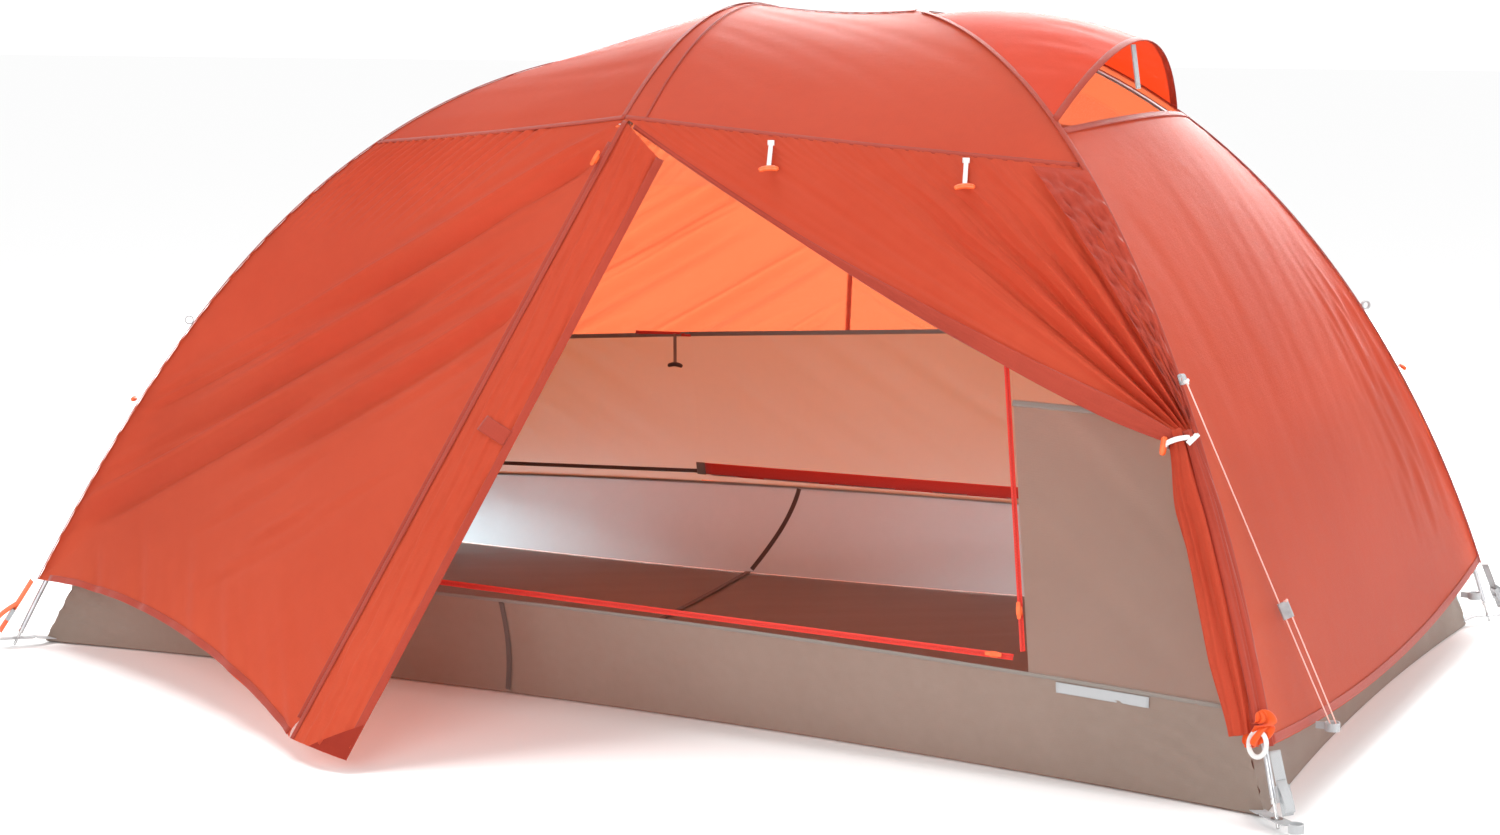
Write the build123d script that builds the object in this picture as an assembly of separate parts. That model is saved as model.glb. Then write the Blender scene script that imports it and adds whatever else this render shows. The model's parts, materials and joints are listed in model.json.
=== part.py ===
"""A two-person dome tent, pitched: hubbed aluminium pole frame, inner tent and rain fly.

Millimetres. +X runs from the foot end to the head end, -Y is the near side (the open door), +Z is up.
The origin is the middle of the groundsheet's underside.
"""

import math
import os

from build123d import *

os.makedirs("parts", exist_ok=True)

# ---------------------------------------------------------------- driving dimensions
FLOOR_LENGTH = 2200.0
HEAD_WIDTH = 1320.0
FOOT_WIDTH = 1100.0
PEAK_HEIGHT = 1100.0
TUB_HEIGHT = 170.0  # top of the groundsheet's walls at mid length
TUB_CORNER_HEIGHT = 145.0
FLOOR_BOW = 85.0  # how far a long floor edge curves in at its middle

FLY_THICKNESS = 1.5
INNER_THICKNESS = 1.5
ZIP_HALF_GAP = 2.5  # half the gap between two fly doors that a zip closes

POLE_RADIUS = 4.35
POLE_BORE = 3.75
POLE_INSET = 13.0  # from the fly's seam line in to the pole's centre line
CANOPY_INSET = 55.0  # from the fly's seam line in to the inner tent
HUB_RADIUS = 7.2
SOCKET_LENGTH = 30.0
HUB_DROP = 4.0
SOCKET_CLEARANCE = 0.55
FERRULE_LENGTH = 44.0
FERRULE_RADIUS = 3.25
SPIGOT_RADIUS = 3.4
SHOCK_CORD_RADIUS = 1.3

STRAP_WIDTH = 15.0
STRAP_THICKNESS = 1.4
STAKE_LOOP_BORE = 9.0
TOGGLE_HANG = 46.0
GUYLINE_RADIUS = 1.1

# The four legs, as seen from the side in their own upright planes: the tip in plan, the hub (x, up), then
# the two handles (along, up) of the curve that the leg bends to.
LEGS = {
    "head": {"tip": (1142, 715), "hub": (300, 1088), "low": (165, 520), "high": (550, 1040)},
    "foot": {"tip": (-1142, 605), "hub": (-350, 1003), "low": (215, 420), "high": (500, 905)},
}
ROOF_SEAM_T = {"head": 0.625, "foot": 0.745}  # where the roof seam meets each leg
HEM_T = {"head": 0.07, "foot": 0.09}
CROSS_TIP = Vector(0, 452, 922)  # the fly over the end of the cross pole
PEAK = Vector(0, 0, PEAK_HEIGHT)
VENT_T = 0.69  # where the vent's corners meet the head legs
VENT_APEX = Vector(690, 0, 1042)
STAKE_POINT = Vector(-275, 990, 30)  # where the vestibule's hem is pegged
TIE_T = {"head": 0.335, "foot": 0.358}  # where a drawn-back door is tied to its leg
GUY_T = {"head": 0.385, "foot": 0.44}  # where a guy loop is sewn to a leg's seam
HEM_SAG = 34.0  # how far an end panel's hem hangs below its corners
NEAR, FAR = -1, 1


# ---------------------------------------------------------------- curves and surfaces
def lerp(a, b, t):
    return a + (b - a) * t


def side_of(point, side):
    """A point given for the far side, on the side asked for."""
    return Vector(point.X, point.Y * side, point.Z)


def leg(end, side, t, inset=0.0):
    """A point on a leg's curve, t from 0 at the tip to 1 at the hub, moved in towards the room by inset."""
    spec = LEGS[end]
    tip = Vector(spec["tip"][0], spec["tip"][1] * side, 0)
    hub = Vector(spec["hub"][0], 0, 0)
    along = (hub - tip).normalized()
    reach = (hub - tip).length
    across = [0.0, spec["low"][0], spec["high"][0], reach]
    up = [0.0, spec["low"][1], spec["high"][1], spec["hub"][1]]
    blend = [(1 - t) ** 3, 3 * t * (1 - t) ** 2, 3 * t * t * (1 - t), t**3]
    slope = [-3 * (1 - t) ** 2, 3 * (1 - t) * (1 - 3 * t), 3 * t * (2 - 3 * t), 3 * t * t]
    x, z = (sum(b * c for b, c in zip(blend, values)) for values in (across, up))
    dx, dz = (sum(s * c for s, c in zip(slope, values)) for values in (across, up))
    size = math.hypot(dx, dz)
    return tip + along * (x + inset * dz / size) + Vector(0, 0, z - inset * dx / size)


def leg_at_height(end, side, height, inset=0.0):
    """The leg's parameter where the inset curve reaches a height below the roof."""
    low, high = 0.0, 0.9
    for _ in range(40):
        middle = (low + high) / 2
        low, high = (middle, high) if leg(end, side, middle, inset).Z < height else (low, middle)
    return low


def polyline(*points):
    """A function of 0 to 1 that runs straight from point to point, each leg taking an equal share."""

    def at(t):
        place = min(max(t, 0.0), 1.0) * (len(points) - 1)
        i = min(int(place), len(points) - 2)
        return lerp(points[i], points[i + 1], place - i)

    return at


def bowed(a, b, bow):
    """A curve from a to b whose middle is moved by the vector bow."""
    return lambda t: lerp(a, b, t) + bow * (4 * t * (1 - t))


def coons(low, high, left, right):
    """The patch between four edges: low and high run with u, left and right run with v."""

    def at(u, v):
        ruled_v = lerp(low(u), high(u), v)
        ruled_u = lerp(left(v), right(v), u)
        flat = lerp(lerp(low(0), low(1), u), lerp(high(0), high(1), u), v)
        return ruled_u + ruled_v - flat

    return at


def normal_of(surface, u, v):
    """The surface's unit normal, from two short steps either way."""
    step = 0.01
    u = min(max(u, step), 1 - step)
    v = min(max(v, step), 1 - step)
    along_u = surface(u + step, v) - surface(u - step, v)
    along_v = surface(u, v + step) - surface(u, v - step)
    return along_u.cross(along_v).normalized()


def cloth(surface, thickness, steps=(10, 10), inside=Vector(0, 0, 450)):
    """A sheet of cloth: the surface, a second face moved in towards the point inside, and four edges."""
    nu, nv = steps
    sign = 1 if normal_of(surface, 0.5, 0.5).dot(inside - surface(0.5, 0.5)) > 0 else -1
    places = [[(i / nu, j / nv) for j in range(nv + 1)] for i in range(nu + 1)]
    outer = [[surface(u, v) for u, v in row] for row in places]
    inner = [[surface(u, v) + normal_of(surface, u, v) * sign * thickness for u, v in row] for row in places]
    faces = [Face.make_surface_from_array_of_points(grid) for grid in (outer, inner)]
    sides = []
    for edge in faces[0].edges():
        mate = min(faces[1].edges(), key=lambda other: (other.center() - edge.center()).length)
        sides.append(Face.make_surface_from_curves(edge, mate))
    return Solid(Shell(faces + sides))


def arc_tube(a, middle, b, radius, bore=0.0):
    path = ThreePointArc(a, middle, b)
    section = Circle(radius) - Circle(bore) if bore else Circle(radius)
    return sweep(Plane(origin=path @ 0, z_dir=path % 0) * section, path=path)


def rod(a, b, radius, bore=0.0):
    section = Circle(radius) - Circle(bore) if bore else Circle(radius)
    return extrude(Plane(origin=a, z_dir=b - a) * section, (b - a).length)


def bar(a, b, across, width, thickness):
    """A straight flat bar from a to b; across is the direction of its width."""
    along = (b - a).normalized()
    x = (across - along * across.dot(along)).normalized()
    return extrude(Plane(origin=a, x_dir=x, z_dir=along) * Rectangle(width, thickness), (b - a).length)


def save(name, *solids):
    whole = Compound(children=[s for item in solids for s in item.solids()])
    export_step(whole, f"parts/{name}.step")


# ---------------------------------------------------------------- poles
def pole_line(end, side):
    return lambda t: leg(end, side, t, POLE_INSET)


def spine_line(t):
    """The spine, from the foot hub to the head hub, in three-point form."""
    foot, head = pole_line("foot", NEAR)(1.0), pole_line("head", NEAR)(1.0)
    foot, head = Vector(foot.X, 0, foot.Z), Vector(head.X, 0, head.Z)
    return ThreePointArc(foot, SPINE_MIDDLE, head) @ t


SPINE_MIDDLE = Vector(0, 0, PEAK_HEIGHT - 41.0)
CROSS_MIDDLE = Vector(0, 0, PEAK_HEIGHT - 15.0)
CROSS_END = CROSS_TIP + Vector(0, -13, -12)


def cross_line(t):
    return ThreePointArc(side_of(CROSS_END, NEAR), CROSS_MIDDLE, CROSS_END) @ t


def pole(line, start, stop, sections):
    """A pole's tubes, each a circular arc on the line, with a hair's gap where two meet."""
    gap = 0.0005
    tubes = []
    for i in range(sections):
        a = lerp(start, stop, i / sections) + gap
        b = lerp(start, stop, (i + 1) / sections) - gap
        tubes.append(arc_tube(line(a), line((a + b) / 2), line(b), POLE_RADIUS, POLE_BORE))
    return tubes


def inserts(line, start, stop, sections):
    """The ferrules inside a pole: one short bored plug over each meeting of two tubes."""
    made = []
    length = (line(stop) - line(start)).length * 1.1
    half = FERRULE_LENGTH / 2 / length * (stop - start)
    for i in range(1, sections):
        at = lerp(start, stop, i / sections)
        made.append(arc_tube(line(at - half), line(at), line(at + half), FERRULE_RADIUS, FERRULE_RADIUS - 0.7))
    return made


def elastic(line, start, stop, sections):
    """The shock cord inside a pole, one arc to each tube."""
    made = []
    start, stop = start + ELASTIC_TRIM, stop - ELASTIC_TRIM
    for i in range(sections):
        a, b = lerp(start, stop, i / sections), lerp(start, stop, (i + 1) / sections)
        made.append(arc_tube(line(a), line((a + b) / 2), line(b), SHOCK_CORD_RADIUS))
    return made


# Where each pole's tubes start and stop along its line, and how many tubes it has.
LEG_SPAN = (0.028, 0.984, 4)
SPINE_SPAN = (0.03, 0.97, 2)
CROSS_SPAN = (0.006, 0.994, 3)
ELASTIC_TRIM = 0.02  # how far short of its pole's ends the shock cord stops
CORNERS = [(end, side) for end in ("head", "foot") for side in (NEAR, FAR)]
SIDE_NAMES = {NEAR: "near", FAR: "far"}


def build_poles():
    ferrules, cords = [], []
    for end, side in CORNERS:
        line = pole_line(end, side)
        save(f"leg_pole_{end}_{SIDE_NAMES[side]}", *pole(line, *LEG_SPAN))
        ferrules += inserts(line, *LEG_SPAN)
        cords += elastic(line, *LEG_SPAN)
    for name, line, span in (("spine_pole", spine_line, SPINE_SPAN), ("cross_pole", cross_line, CROSS_SPAN)):
        save(name, *pole(line, *span))
        ferrules += inserts(line, *span)
        cords += elastic(line, *span)
    save("pole_ferrules", *ferrules)
    save("shock_cords", *cords)


SPIGOT_SHARE, SHOULDER_SHARE = 0.012, 0.001  # shares of a leg above and below its tube's lower end


def build_pole_tips():
    """Turned tips: a spigot up inside the tube, a shoulder under it and a long nose down to the ground."""
    tips = []
    for end, side in CORNERS:
        line = pole_line(end, side)
        top, shoulder = line(LEG_SPAN[0] + SPIGOT_SHARE), line(LEG_SPAN[0] - SHOULDER_SHARE)
        axis = (top - shoulder).normalized()
        # The rounded nose just touches the ground.
        nose_radius = 2.6
        drop = (shoulder.Z - nose_radius) / axis.Z
        nose = shoulder - axis * drop
        collar = shoulder - axis * 6.0
        tips += (
            rod(shoulder, top, SPIGOT_RADIUS)
            + rod(collar, shoulder, POLE_RADIUS)
            + rod(nose, collar, nose_radius)
            + Pos(nose) * Sphere(nose_radius)
        ).solids()
    for t, back in ((0.0, 0.02), (1.0, -0.02)):
        end, inner = cross_line(t), cross_line(t + back)
        axis = (end - inner).normalized()
        tips += (rod(inner, end, SPIGOT_RADIUS) + rod(end - axis * 2, end + axis * 4, POLE_RADIUS)).solids()
    save("pole_tips", *tips)


def build_hub(name, centre, *poles):
    """A round boss with a bored socket for each pole, given as the pole's end and a point back along it."""
    body, bores = Pos(centre) * Sphere(HUB_RADIUS + 0.6), []
    for pole_end, back in poles:
        axis = (back - pole_end).normalized()
        mouth = pole_end + axis * SOCKET_LENGTH
        body += rod(centre, pole_end, HUB_RADIUS - 0.6) + rod(pole_end - axis, mouth, HUB_RADIUS)
        bores.append(rod(pole_end - axis * 1.2, mouth + axis, POLE_RADIUS + SOCKET_CLEARANCE))
    for bore in bores:
        body -= bore
    save(name, body)


def last_arc(line, start, stop, sections, at_stop):
    """The end of a pole's last tube and a point a socket's length back along it."""
    share = (stop - start) / sections
    a, b = (stop - share, stop) if at_stop else (start, start + share)
    arc = ThreePointArc(line(a), line((a + b) / 2), line(b))
    back = SOCKET_LENGTH / arc.length
    return (arc @ 1, arc @ (1 - back)) if at_stop else (arc @ 0, arc @ back)


def build_hubs():
    for end in ("head", "foot"):
        line = pole_line(end, NEAR)
        centre = line(1.0)
        centre = Vector(centre.X, 0, centre.Z - HUB_DROP)
        legs = [last_arc(pole_line(end, side), *LEG_SPAN, True) for side in (NEAR, FAR)]
        spine = last_arc(spine_line, *SPINE_SPAN, end == "head")
        build_hub(f"hub_{end}", centre, spine, *legs)
    # The saddle clips round the spine and carries the cross pole.
    spine_slope = (spine_line(0.56) - spine_line(0.52)).normalized()
    lower, upper, half = SPINE_MIDDLE, CROSS_MIDDLE, 9.0
    along, across = spine_slope * half, Vector(0, half, 0)
    block = Pos((lower + upper) / 2) * Box(2 * half - 4, 2 * half - 4, (upper - lower).Z)
    block += rod(lower - along, lower + along, POLE_RADIUS + 2.4)
    block += rod(upper - across, upper + across, POLE_RADIUS + 2.4)
    for middle, reach in ((lower, along), (upper, across)):
        block -= rod(middle - reach * 1.2, middle + reach * 1.2, POLE_RADIUS + SOCKET_CLEARANCE)
    block -= Pos(upper + Vector(0, 0, POLE_RADIUS + 3.0)) * Box(4 * half, 4 * half, 6.0)
    save("cross_saddle", block)


# ---------------------------------------------------------------- groundsheet
def floor_corner(end, side):
    half = (HEAD_WIDTH if end == "head" else FOOT_WIDTH) / 2
    return Vector(FLOOR_LENGTH / 2 * (1 if end == "head" else -1), half * side, 0)


def tub_top(end, side):
    """The top of the groundsheet's corner, under the canopy's own corner."""
    return leg(end, side, leg_at_height(end, side, TUB_CORNER_HEIGHT, CANOPY_INSET), CANOPY_INSET)


def long_edge(side):
    bow = Vector(0, -FLOOR_BOW * side, 0)
    return bowed(floor_corner("foot", side), floor_corner("head", side), bow)


def short_edge(end):
    bow = Vector(-25.0 if end == "head" else 25.0, 0, 0)
    return bowed(floor_corner(end, NEAR), floor_corner(end, FAR), bow)


def tub_top_line(side):
    rise = Vector(0, 0, TUB_HEIGHT - TUB_CORNER_HEIGHT)
    return bowed(tub_top("foot", side), tub_top("head", side), rise)


def tub_end_line(end):
    return bowed(tub_top(end, NEAR), tub_top(end, FAR), Vector(0, 0, 15.0))


def build_tub():
    floor_thickness = 2.0
    edges = [
        ThreePointArc(edge(0), edge(0.5), edge(1))
        for edge in (long_edge(NEAR), long_edge(FAR), short_edge("head"), short_edge("foot"))
    ]
    save("tub_floor", extrude(make_face(Wire(edges)), floor_thickness))
    lift = Vector(0, 0, floor_thickness + 0.6)
    walls = []
    runs = [(long_edge(side), tub_top_line(side)) for side in (NEAR, FAR)]
    runs += [(short_edge(end), tub_end_line(end)) for end in ("head", "foot")]
    for low, high in runs:
        inner = 0.012

        def wall(u, v, low=low, high=high):
            u = lerp(inner, 1 - inner, u)
            return lerp(low(u) + lift, high(u), v)

        walls.append(cloth(wall, INNER_THICKNESS, (12, 3)))
    save("tub_walls", *walls)


# ---------------------------------------------------------------- inner tent
# The foot-end and head-end edges of a doorway, low and high, in plan.
DOOR_FOOT = (Vector(-380, 558, 0), Vector(-330, 368, 0))
DOOR_HEAD = (Vector(742, 600, 0), Vector(585, 345, 0))
DOOR_TOP = 815.0
BAND_GAP = 5.0  # between a doorway's top and the wall over it
ZIP_V = 0.026  # where the lower zip runs, as a share of the doorway's height


def door_edge(spec, side):
    """One upright edge of a doorway, v from 0 at the groundsheet to 1 at its top."""
    low = tub_top_line(side)
    share = (spec[0].X - low(0).X) / (low(1) - low(0)).X
    bottom = low(share)
    top = Vector(spec[1].X, spec[1].Y * side, DOOR_TOP)
    return lambda v: lerp(bottom, top, v)


def canopy_leg(end, side):
    """The inner tent's edge along a leg, v from the groundsheet to the roof seam."""
    start = leg_at_height(end, side, TUB_CORNER_HEIGHT, CANOPY_INSET)
    return lambda v: leg(end, side, lerp(start, ROOF_SEAM_T[end], v), CANOPY_INSET)


def canopy_seam(side):
    """The inner tent's top line on one side, from the foot leg by the cross pole's end to the head leg."""
    corner = side_of(CROSS_TIP + Vector(0, -62, -50), side)
    foot, head = canopy_leg("foot", side)(1), canopy_leg("head", side)(1)
    return polyline(foot, corner, head)


def panel_beside_door(side, end):
    """The wall between a doorway's edge and the leg at one end."""
    door = door_edge(DOOR_HEAD if end == "head" else DOOR_FOOT, side)
    outer = canopy_leg(end, side)
    low, high = lerp_curve(door(0), outer(0)), lerp_curve(door(1), outer(1))
    return coons(low, high, door, outer)


def lerp_curve(a, b):
    return lambda t: lerp(a, b, t)


def trimmed(surface, u0, u1, v0, v1):
    return lambda u, v: surface(lerp(u0, u1, u), lerp(v0, v1, v))


def doorway(side):
    """The flat of a doorway: u from its foot-end edge to its head-end edge, v upwards."""
    foot, head = door_edge(DOOR_FOOT, side), door_edge(DOOR_HEAD, side)
    return lambda u, v: lerp(foot(v), head(v), u)


def wall_solids(side):
    """The two panels beside a doorway and the band over it."""
    solids = []
    for end in ("head", "foot"):
        panel = trimmed(panel_beside_door(side, end), 0.008, 0.985, 0.008, 0.99)
        solids.append(cloth(panel, INNER_THICKNESS, (8, 8)))
    seam, opening = canopy_seam(side), doorway(side)
    foot, head = canopy_leg("foot", side)(1), canopy_leg("head", side)(1)
    share = [(opening(u, 1).X - foot.X) / (head.X - foot.X) for u in (0, 1)]
    lift = Vector(0, 0, BAND_GAP)

    def band(u, v):
        return lerp(opening(u, 1) + lift, seam(lerp(share[0], share[1], u)), lerp(0.0, 0.94, v))

    solids.append(cloth(band, INNER_THICKNESS, (10, 2)))
    return solids


def build_inner_walls():
    save("inner_near_wall", *wall_solids(NEAR))
    save("inner_far_wall", *wall_solids(FAR))
    ends = []
    for end in ("head", "foot"):
        start = leg_at_height(end, NEAR, TUB_CORNER_HEIGHT, CANOPY_INSET)
        stop = 0.93
        left, right = (
            lambda v, side=side: leg(end, side, lerp(start, stop, v), CANOPY_INSET) for side in (NEAR, FAR)
        )
        surface = coons(tub_end_line(end), lerp_curve(left(1), right(1)), left, right)
        ends.append(cloth(trimmed(surface, 0.012, 0.988, 0.01, 0.97), INNER_THICKNESS, (10, 14)))
    save("inner_end_walls", *ends)
    roof = []
    for end in ("head", "foot"):
        for side in (NEAR, FAR):
            patch = lowered(trimmed(roof_patch(end, side), 0.006, 0.95, 0.012, 0.96))
            roof.append(cloth(patch, INNER_THICKNESS, (8, 8), Vector(0, 0, 500)))
    save("inner_roof", *roof)


def lowered(surface):
    """A fly panel's surface brought in to hang under the poles."""
    return lambda u, v: Vector(surface(u, v).X, surface(u, v).Y * 0.93, surface(u, v).Z - 52.0)


def build_door(side):
    """The far door, closed: a panel with room for its zip all round."""
    opening = doorway(side)
    return cloth(trimmed(opening, 0.012, 0.982, 0.05, 0.99), INNER_THICKNESS, (8, 8))


def build_doors():
    save("far_door", build_door(FAR))
    # A stiffened flap keeps rain off the far door's lower zip.
    opening = doorway(FAR)
    outward = Vector(0, 5.0, 0)
    low, high = [opening(u, 0.056) - outward for u in (0.02, 0.96)]
    save("far_door_rain_flap", bar(low, high, Vector(0, -1, 4), 24.0, 1.6))
    # The near door is open: rolled up on its foot-end edge and tied.
    edge = door_edge(DOOR_FOOT, NEAR)
    shift = Vector(-12.0, 0, 0)
    roll = rod(edge(0.06) + shift + Vector(0, 42, 0), edge(0.9) + shift + Vector(0, 42, 0), 26.0)
    save("near_door_roll", roll)
    tapes = []
    for s in (NEAR, FAR):
        opening = doorway(s)
        tapes.append(bar(opening(0.02, ZIP_V), opening(0.98, ZIP_V), Vector(0, 0, 1), 8.0, 1.6))
        aside = Vector(-7.0, 0, 0)
        low, high = (opening(1, v) + aside for v in (0.05, 0.97))
        tapes.append(bar(low, high, Vector(1, 0, 0), 6.0, 1.6))
    save("inner_door_zips", *tapes)


def zip_slider(at, along, out):
    """A zip slider: a waisted block with a pull hanging on it. out points off the cloth."""
    plane = Plane(origin=at, x_dir=along, z_dir=out)
    block = extrude(plane * RectangleRounded(14, 9, 3), 4.0)
    pull = extrude(plane.offset(4.6) * RectangleRounded(26, 6, 2.5), 1.4)
    ring = extrude(plane.offset(3.9) * Circle(1.6), 1.0)
    return block + pull + ring


def build_sliders():
    for name, side in (("near_sill_slider", NEAR), ("far_sill_slider", FAR)):
        sill = doorway(side)
        along = (sill(1, ZIP_V) - sill(0, ZIP_V)).normalized()
        save(name, zip_slider(sill(0.955, ZIP_V) + doorway_out(side) * 3.2, along, doorway_out(side)))
    upright = door_edge(DOOR_HEAD, NEAR)
    rise = (upright(0.97) - upright(0.05)).normalized()
    out = rise.cross(Vector(1, 0, 0)).normalized()
    out = out if out.Y < 0 else out * -1
    save("near_side_slider", zip_slider(upright(0.12) + out * 3.2 + Vector(-7.0, 0, 0), rise, out))


def doorway_out(side):
    """The way out through a doorway, square to its cloth."""
    normal = normal_of(doorway(side), 0.5, 0.1)
    return normal if normal.Y * side > 0 else normal * -1


CLIP_TS = (0.2, 0.34, 0.46, 0.58)


def build_clips():
    """Hooks that hang the inner tent from the poles: a ring on the pole and a tail down to the canopy."""
    clips = []
    ring_bore, ring_outer, half = POLE_RADIUS + 0.9, POLE_RADIUS + 2.7, 5.0
    for end, side in CORNERS:
        for t in CLIP_TS:
            centre = leg(end, side, t, POLE_INSET)
            tail = leg(end, side, t, CANOPY_INSET - 3.0)
            along = (leg(end, side, t + 0.01, POLE_INSET) - centre).normalized()
            inward = (tail - centre).normalized()
            ring = rod(centre - along * half, centre + along * half, ring_outer)
            strip = bar(centre, tail, along, 2 * half - 1, 2.4)
            hole = rod(centre - along * (half + 1), centre + along * (half + 1), ring_bore)
            clips += (ring + strip - hole).solids()
    for t in (0.2, 0.78):
        centre = spine_line(t)
        along = (spine_line(t + 0.01) - centre).normalized()
        ring = rod(centre - along * half, centre + along * half, ring_outer)
        strip = bar(centre, centre - Vector(0, 0, 16), along, 2 * half - 1, 2.4)
        hole = rod(centre - along * (half + 1), centre + along * (half + 1), ring_bore)
        clips += (ring + strip - hole).solids()
    save("body_clips", *clips)


# ---------------------------------------------------------------- rain fly
def fly_leg(end, side, start, stop):
    return lambda v: leg(end, side, lerp(start, stop, v))


def roof_corner(end, side):
    return leg(end, side, ROOF_SEAM_T[end])


def hub_top(end):
    hub = LEGS[end]["hub"]
    return Vector(hub[0], 0, hub[1])


def cross_seam(side):
    """The fly over the cross pole, from the peak down to its end."""
    end = side_of(CROSS_TIP, side)
    return bowed(PEAK, end, Vector(0, 0, 44.0))


def roof_patch(end, side):
    ridge_dip = Vector(0, 0, -9.0 if end == "head" else 0.0)
    ridge = bowed(PEAK, hub_top(end), ridge_dip)
    seam = bowed(side_of(CROSS_TIP, side), roof_corner(end, side), Vector(0, 0, -3.0))
    return coons(ridge, seam, cross_seam(side), fly_leg(end, side, 1.0, ROOF_SEAM_T[end]))


def shoulder_patch(end, side):
    """The fixed part of a vestibule's cloth, between the leg and the line that the door swings on."""
    corner = leg(end, side, HEM_T[end])
    chord = lerp_curve(corner, side_of(CROSS_TIP, side))
    seam = bowed(roof_corner(end, side), side_of(CROSS_TIP, side), Vector(0, 0, -3.0))
    arm = fly_leg(end, side, HEM_T[end], ROOF_SEAM_T[end])
    return coons(lambda u: corner, seam, arm, chord)


def vestibule_door(end, side, zip_gap):
    """A vestibule's door on one side of its zip: a triangle from the corner, the peak and the peg."""
    corner, top = leg(end, side, HEM_T[end]), side_of(CROSS_TIP, side)
    peg = side_of(STAKE_POINT, side)
    hem_curve = Vector(0, -35.0 * side, 38.0)
    chord = lerp_curve(corner, top)
    toward = Vector(zip_gap if end == "head" else -zip_gap, 0, 0)
    zip_line = lerp_curve(peg + toward, top + toward * 0.3)
    hem = bowed(corner, peg + toward, hem_curve)
    return coons(hem, lerp_curve(chord(1), zip_line(1)), chord, zip_line)


def build_fly_roof():
    panels = []
    for end in ("head", "foot"):
        for side in (NEAR, FAR):
            patch = trimmed(roof_patch(end, side), 0.006, 0.992, 0.006, 0.99)
            panels.append(cloth(patch, FLY_THICKNESS, (10, 10), Vector(0, 0, 500)))
    save("fly_roof", *panels)
    shoulders = []
    for end, side in (("foot", NEAR), ("foot", FAR), ("head", FAR)):
        patch = trimmed(shoulder_patch(end, side), 0.012, 0.985, 0.05, 0.985)
        shoulders.append(cloth(patch, FLY_THICKNESS, (8, 12)))
    save("fly_shoulders", *shoulders)


def end_panel(end, stop, top_edge):
    left, right = (fly_leg(end, side, HEM_T[end], stop) for side in (NEAR, FAR))
    outward = 10.0 if end == "head" else -10.0
    hem = bowed(left(0), right(0), Vector(outward, 0, -HEM_SAG))
    return coons(hem, top_edge(left(1), right(1)), left, right)


def build_fly_ends():
    dip = Vector(38.0, 0, 14.0)
    head = end_panel("head", VENT_T - 0.012, lambda a, b: bowed(a, b, dip))
    save("fly_head_panel", cloth(trimmed(head, 0.004, 0.996, 0.0, 1.0), FLY_THICKNESS, (12, 14)))
    foot = end_panel("foot", 0.975, lambda a, b: lerp_curve(a, b))
    save("fly_foot_panel", cloth(trimmed(foot, 0.004, 0.996, 0.0, 1.0), FLY_THICKNESS, (12, 14)))
    left, right = (fly_leg("head", side, 0.97, VENT_T) for side in (NEAR, FAR))
    lift = VENT_APEX - lerp(left(1), right(1), 0.5)
    hood = coons(lerp_curve(left(0), right(0)), bowed(left(1), right(1), lift), left, right)
    save("fly_vent_hood", cloth(trimmed(hood, 0.01, 0.99, 0.0, 1.0), FLY_THICKNESS, (12, 8)))


def stake_loop(centre, reach):
    """A round stake loop of webbing, open upwards. reach is the tail that runs back to what it is sewn to."""
    wall, height = 1.8, 12.0
    half, beyond = Vector(0, 0, height / 2), Vector(0, 0, height * 2)
    tail = bar(centre, centre + reach, Vector(0, 0, 1), height - 2, wall)
    tail -= rod(centre - beyond, centre + beyond, STAKE_LOOP_BORE + wall / 2)
    loop = rod(centre - half, centre + half, STAKE_LOOP_BORE + wall) + tail
    return loop - rod(centre - beyond, centre + beyond, STAKE_LOOP_BORE)


STORM_STRIP = Vector(118, 30, -12)  # the strip's free lower corner, from the peg
STRIP_TOP = Vector(64, -22, -62)  # its free upper corner, from the near end of the cross pole
PEG_LOOP = Vector(-6, 26, -15)  # the peg loop's middle, from the peg
PEG_TAIL = 21.0


def build_vestibule_doors():
    doors = {}
    places = {"near_flap": ("foot", NEAR), "far_flap_foot": ("foot", FAR), "far_flap_head": ("head", FAR)}
    for name, (end, side) in places.items():
        gap = ZIP_HALF_GAP if side == FAR else 0.0
        patch = trimmed(vestibule_door(end, side, gap), 0.016, 0.995, 0.0, 0.955)
        doors[name] = cloth(patch, FLY_THICKNESS, (10, 12), Vector(0, 0, 300))
    for name, side in (("near_flap", NEAR), ("far_flap_foot", FAR)):
        peg = side_of(STAKE_POINT, side)
        centre = peg + side_of(PEG_LOOP, side)
        save(name, doors[name], stake_loop(centre, (peg - centre).normalized() * PEG_TAIL))
    save("far_flap_head", doors["far_flap_head"])
    # The storm strip hides the near zip and stands past it, over the doorway.
    peg, top = side_of(STAKE_POINT, NEAR), side_of(CROSS_TIP, NEAR)
    free_low = peg + side_of(STORM_STRIP, NEAR)
    free_high = top + STRIP_TOP

    def strip(u, v):
        inner, outer = lerp(peg, top, lerp(0.01, 0.92, v)), lerp(free_low, free_high, v)
        return lerp(inner, outer, lerp(0.03, 1.0, u))

    save("near_storm_strip", cloth(strip, FLY_THICKNESS, (4, 10), Vector(0, 0, 300)))


def open_door_drape():
    """The cloth of the near head-end door from the roof seam down to its tie."""
    top, tie = side_of(CROSS_TIP, NEAR), leg("head", NEAR, TIE_T["head"])
    corner = roof_corner("head", NEAR)
    outward = Vector(-20, -14, 0)
    low_a, low_b = tie + outward, tie + outward * 0.35
    high = bowed(top + Vector(20, -4, -8), corner + Vector(-6, -6, -6), Vector(0, 0, -3))
    left = bowed(low_a, high(0), Vector(0, -10, -14))
    right = fly_leg("head", NEAR, TIE_T["head"], ROOF_SEAM_T["head"])
    away = Vector(-7, -7, -2)
    return coons(lerp_curve(low_a, low_b), high, left, lambda v: lerp(right(v), high(1), v) + away * (1 - v))


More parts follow.
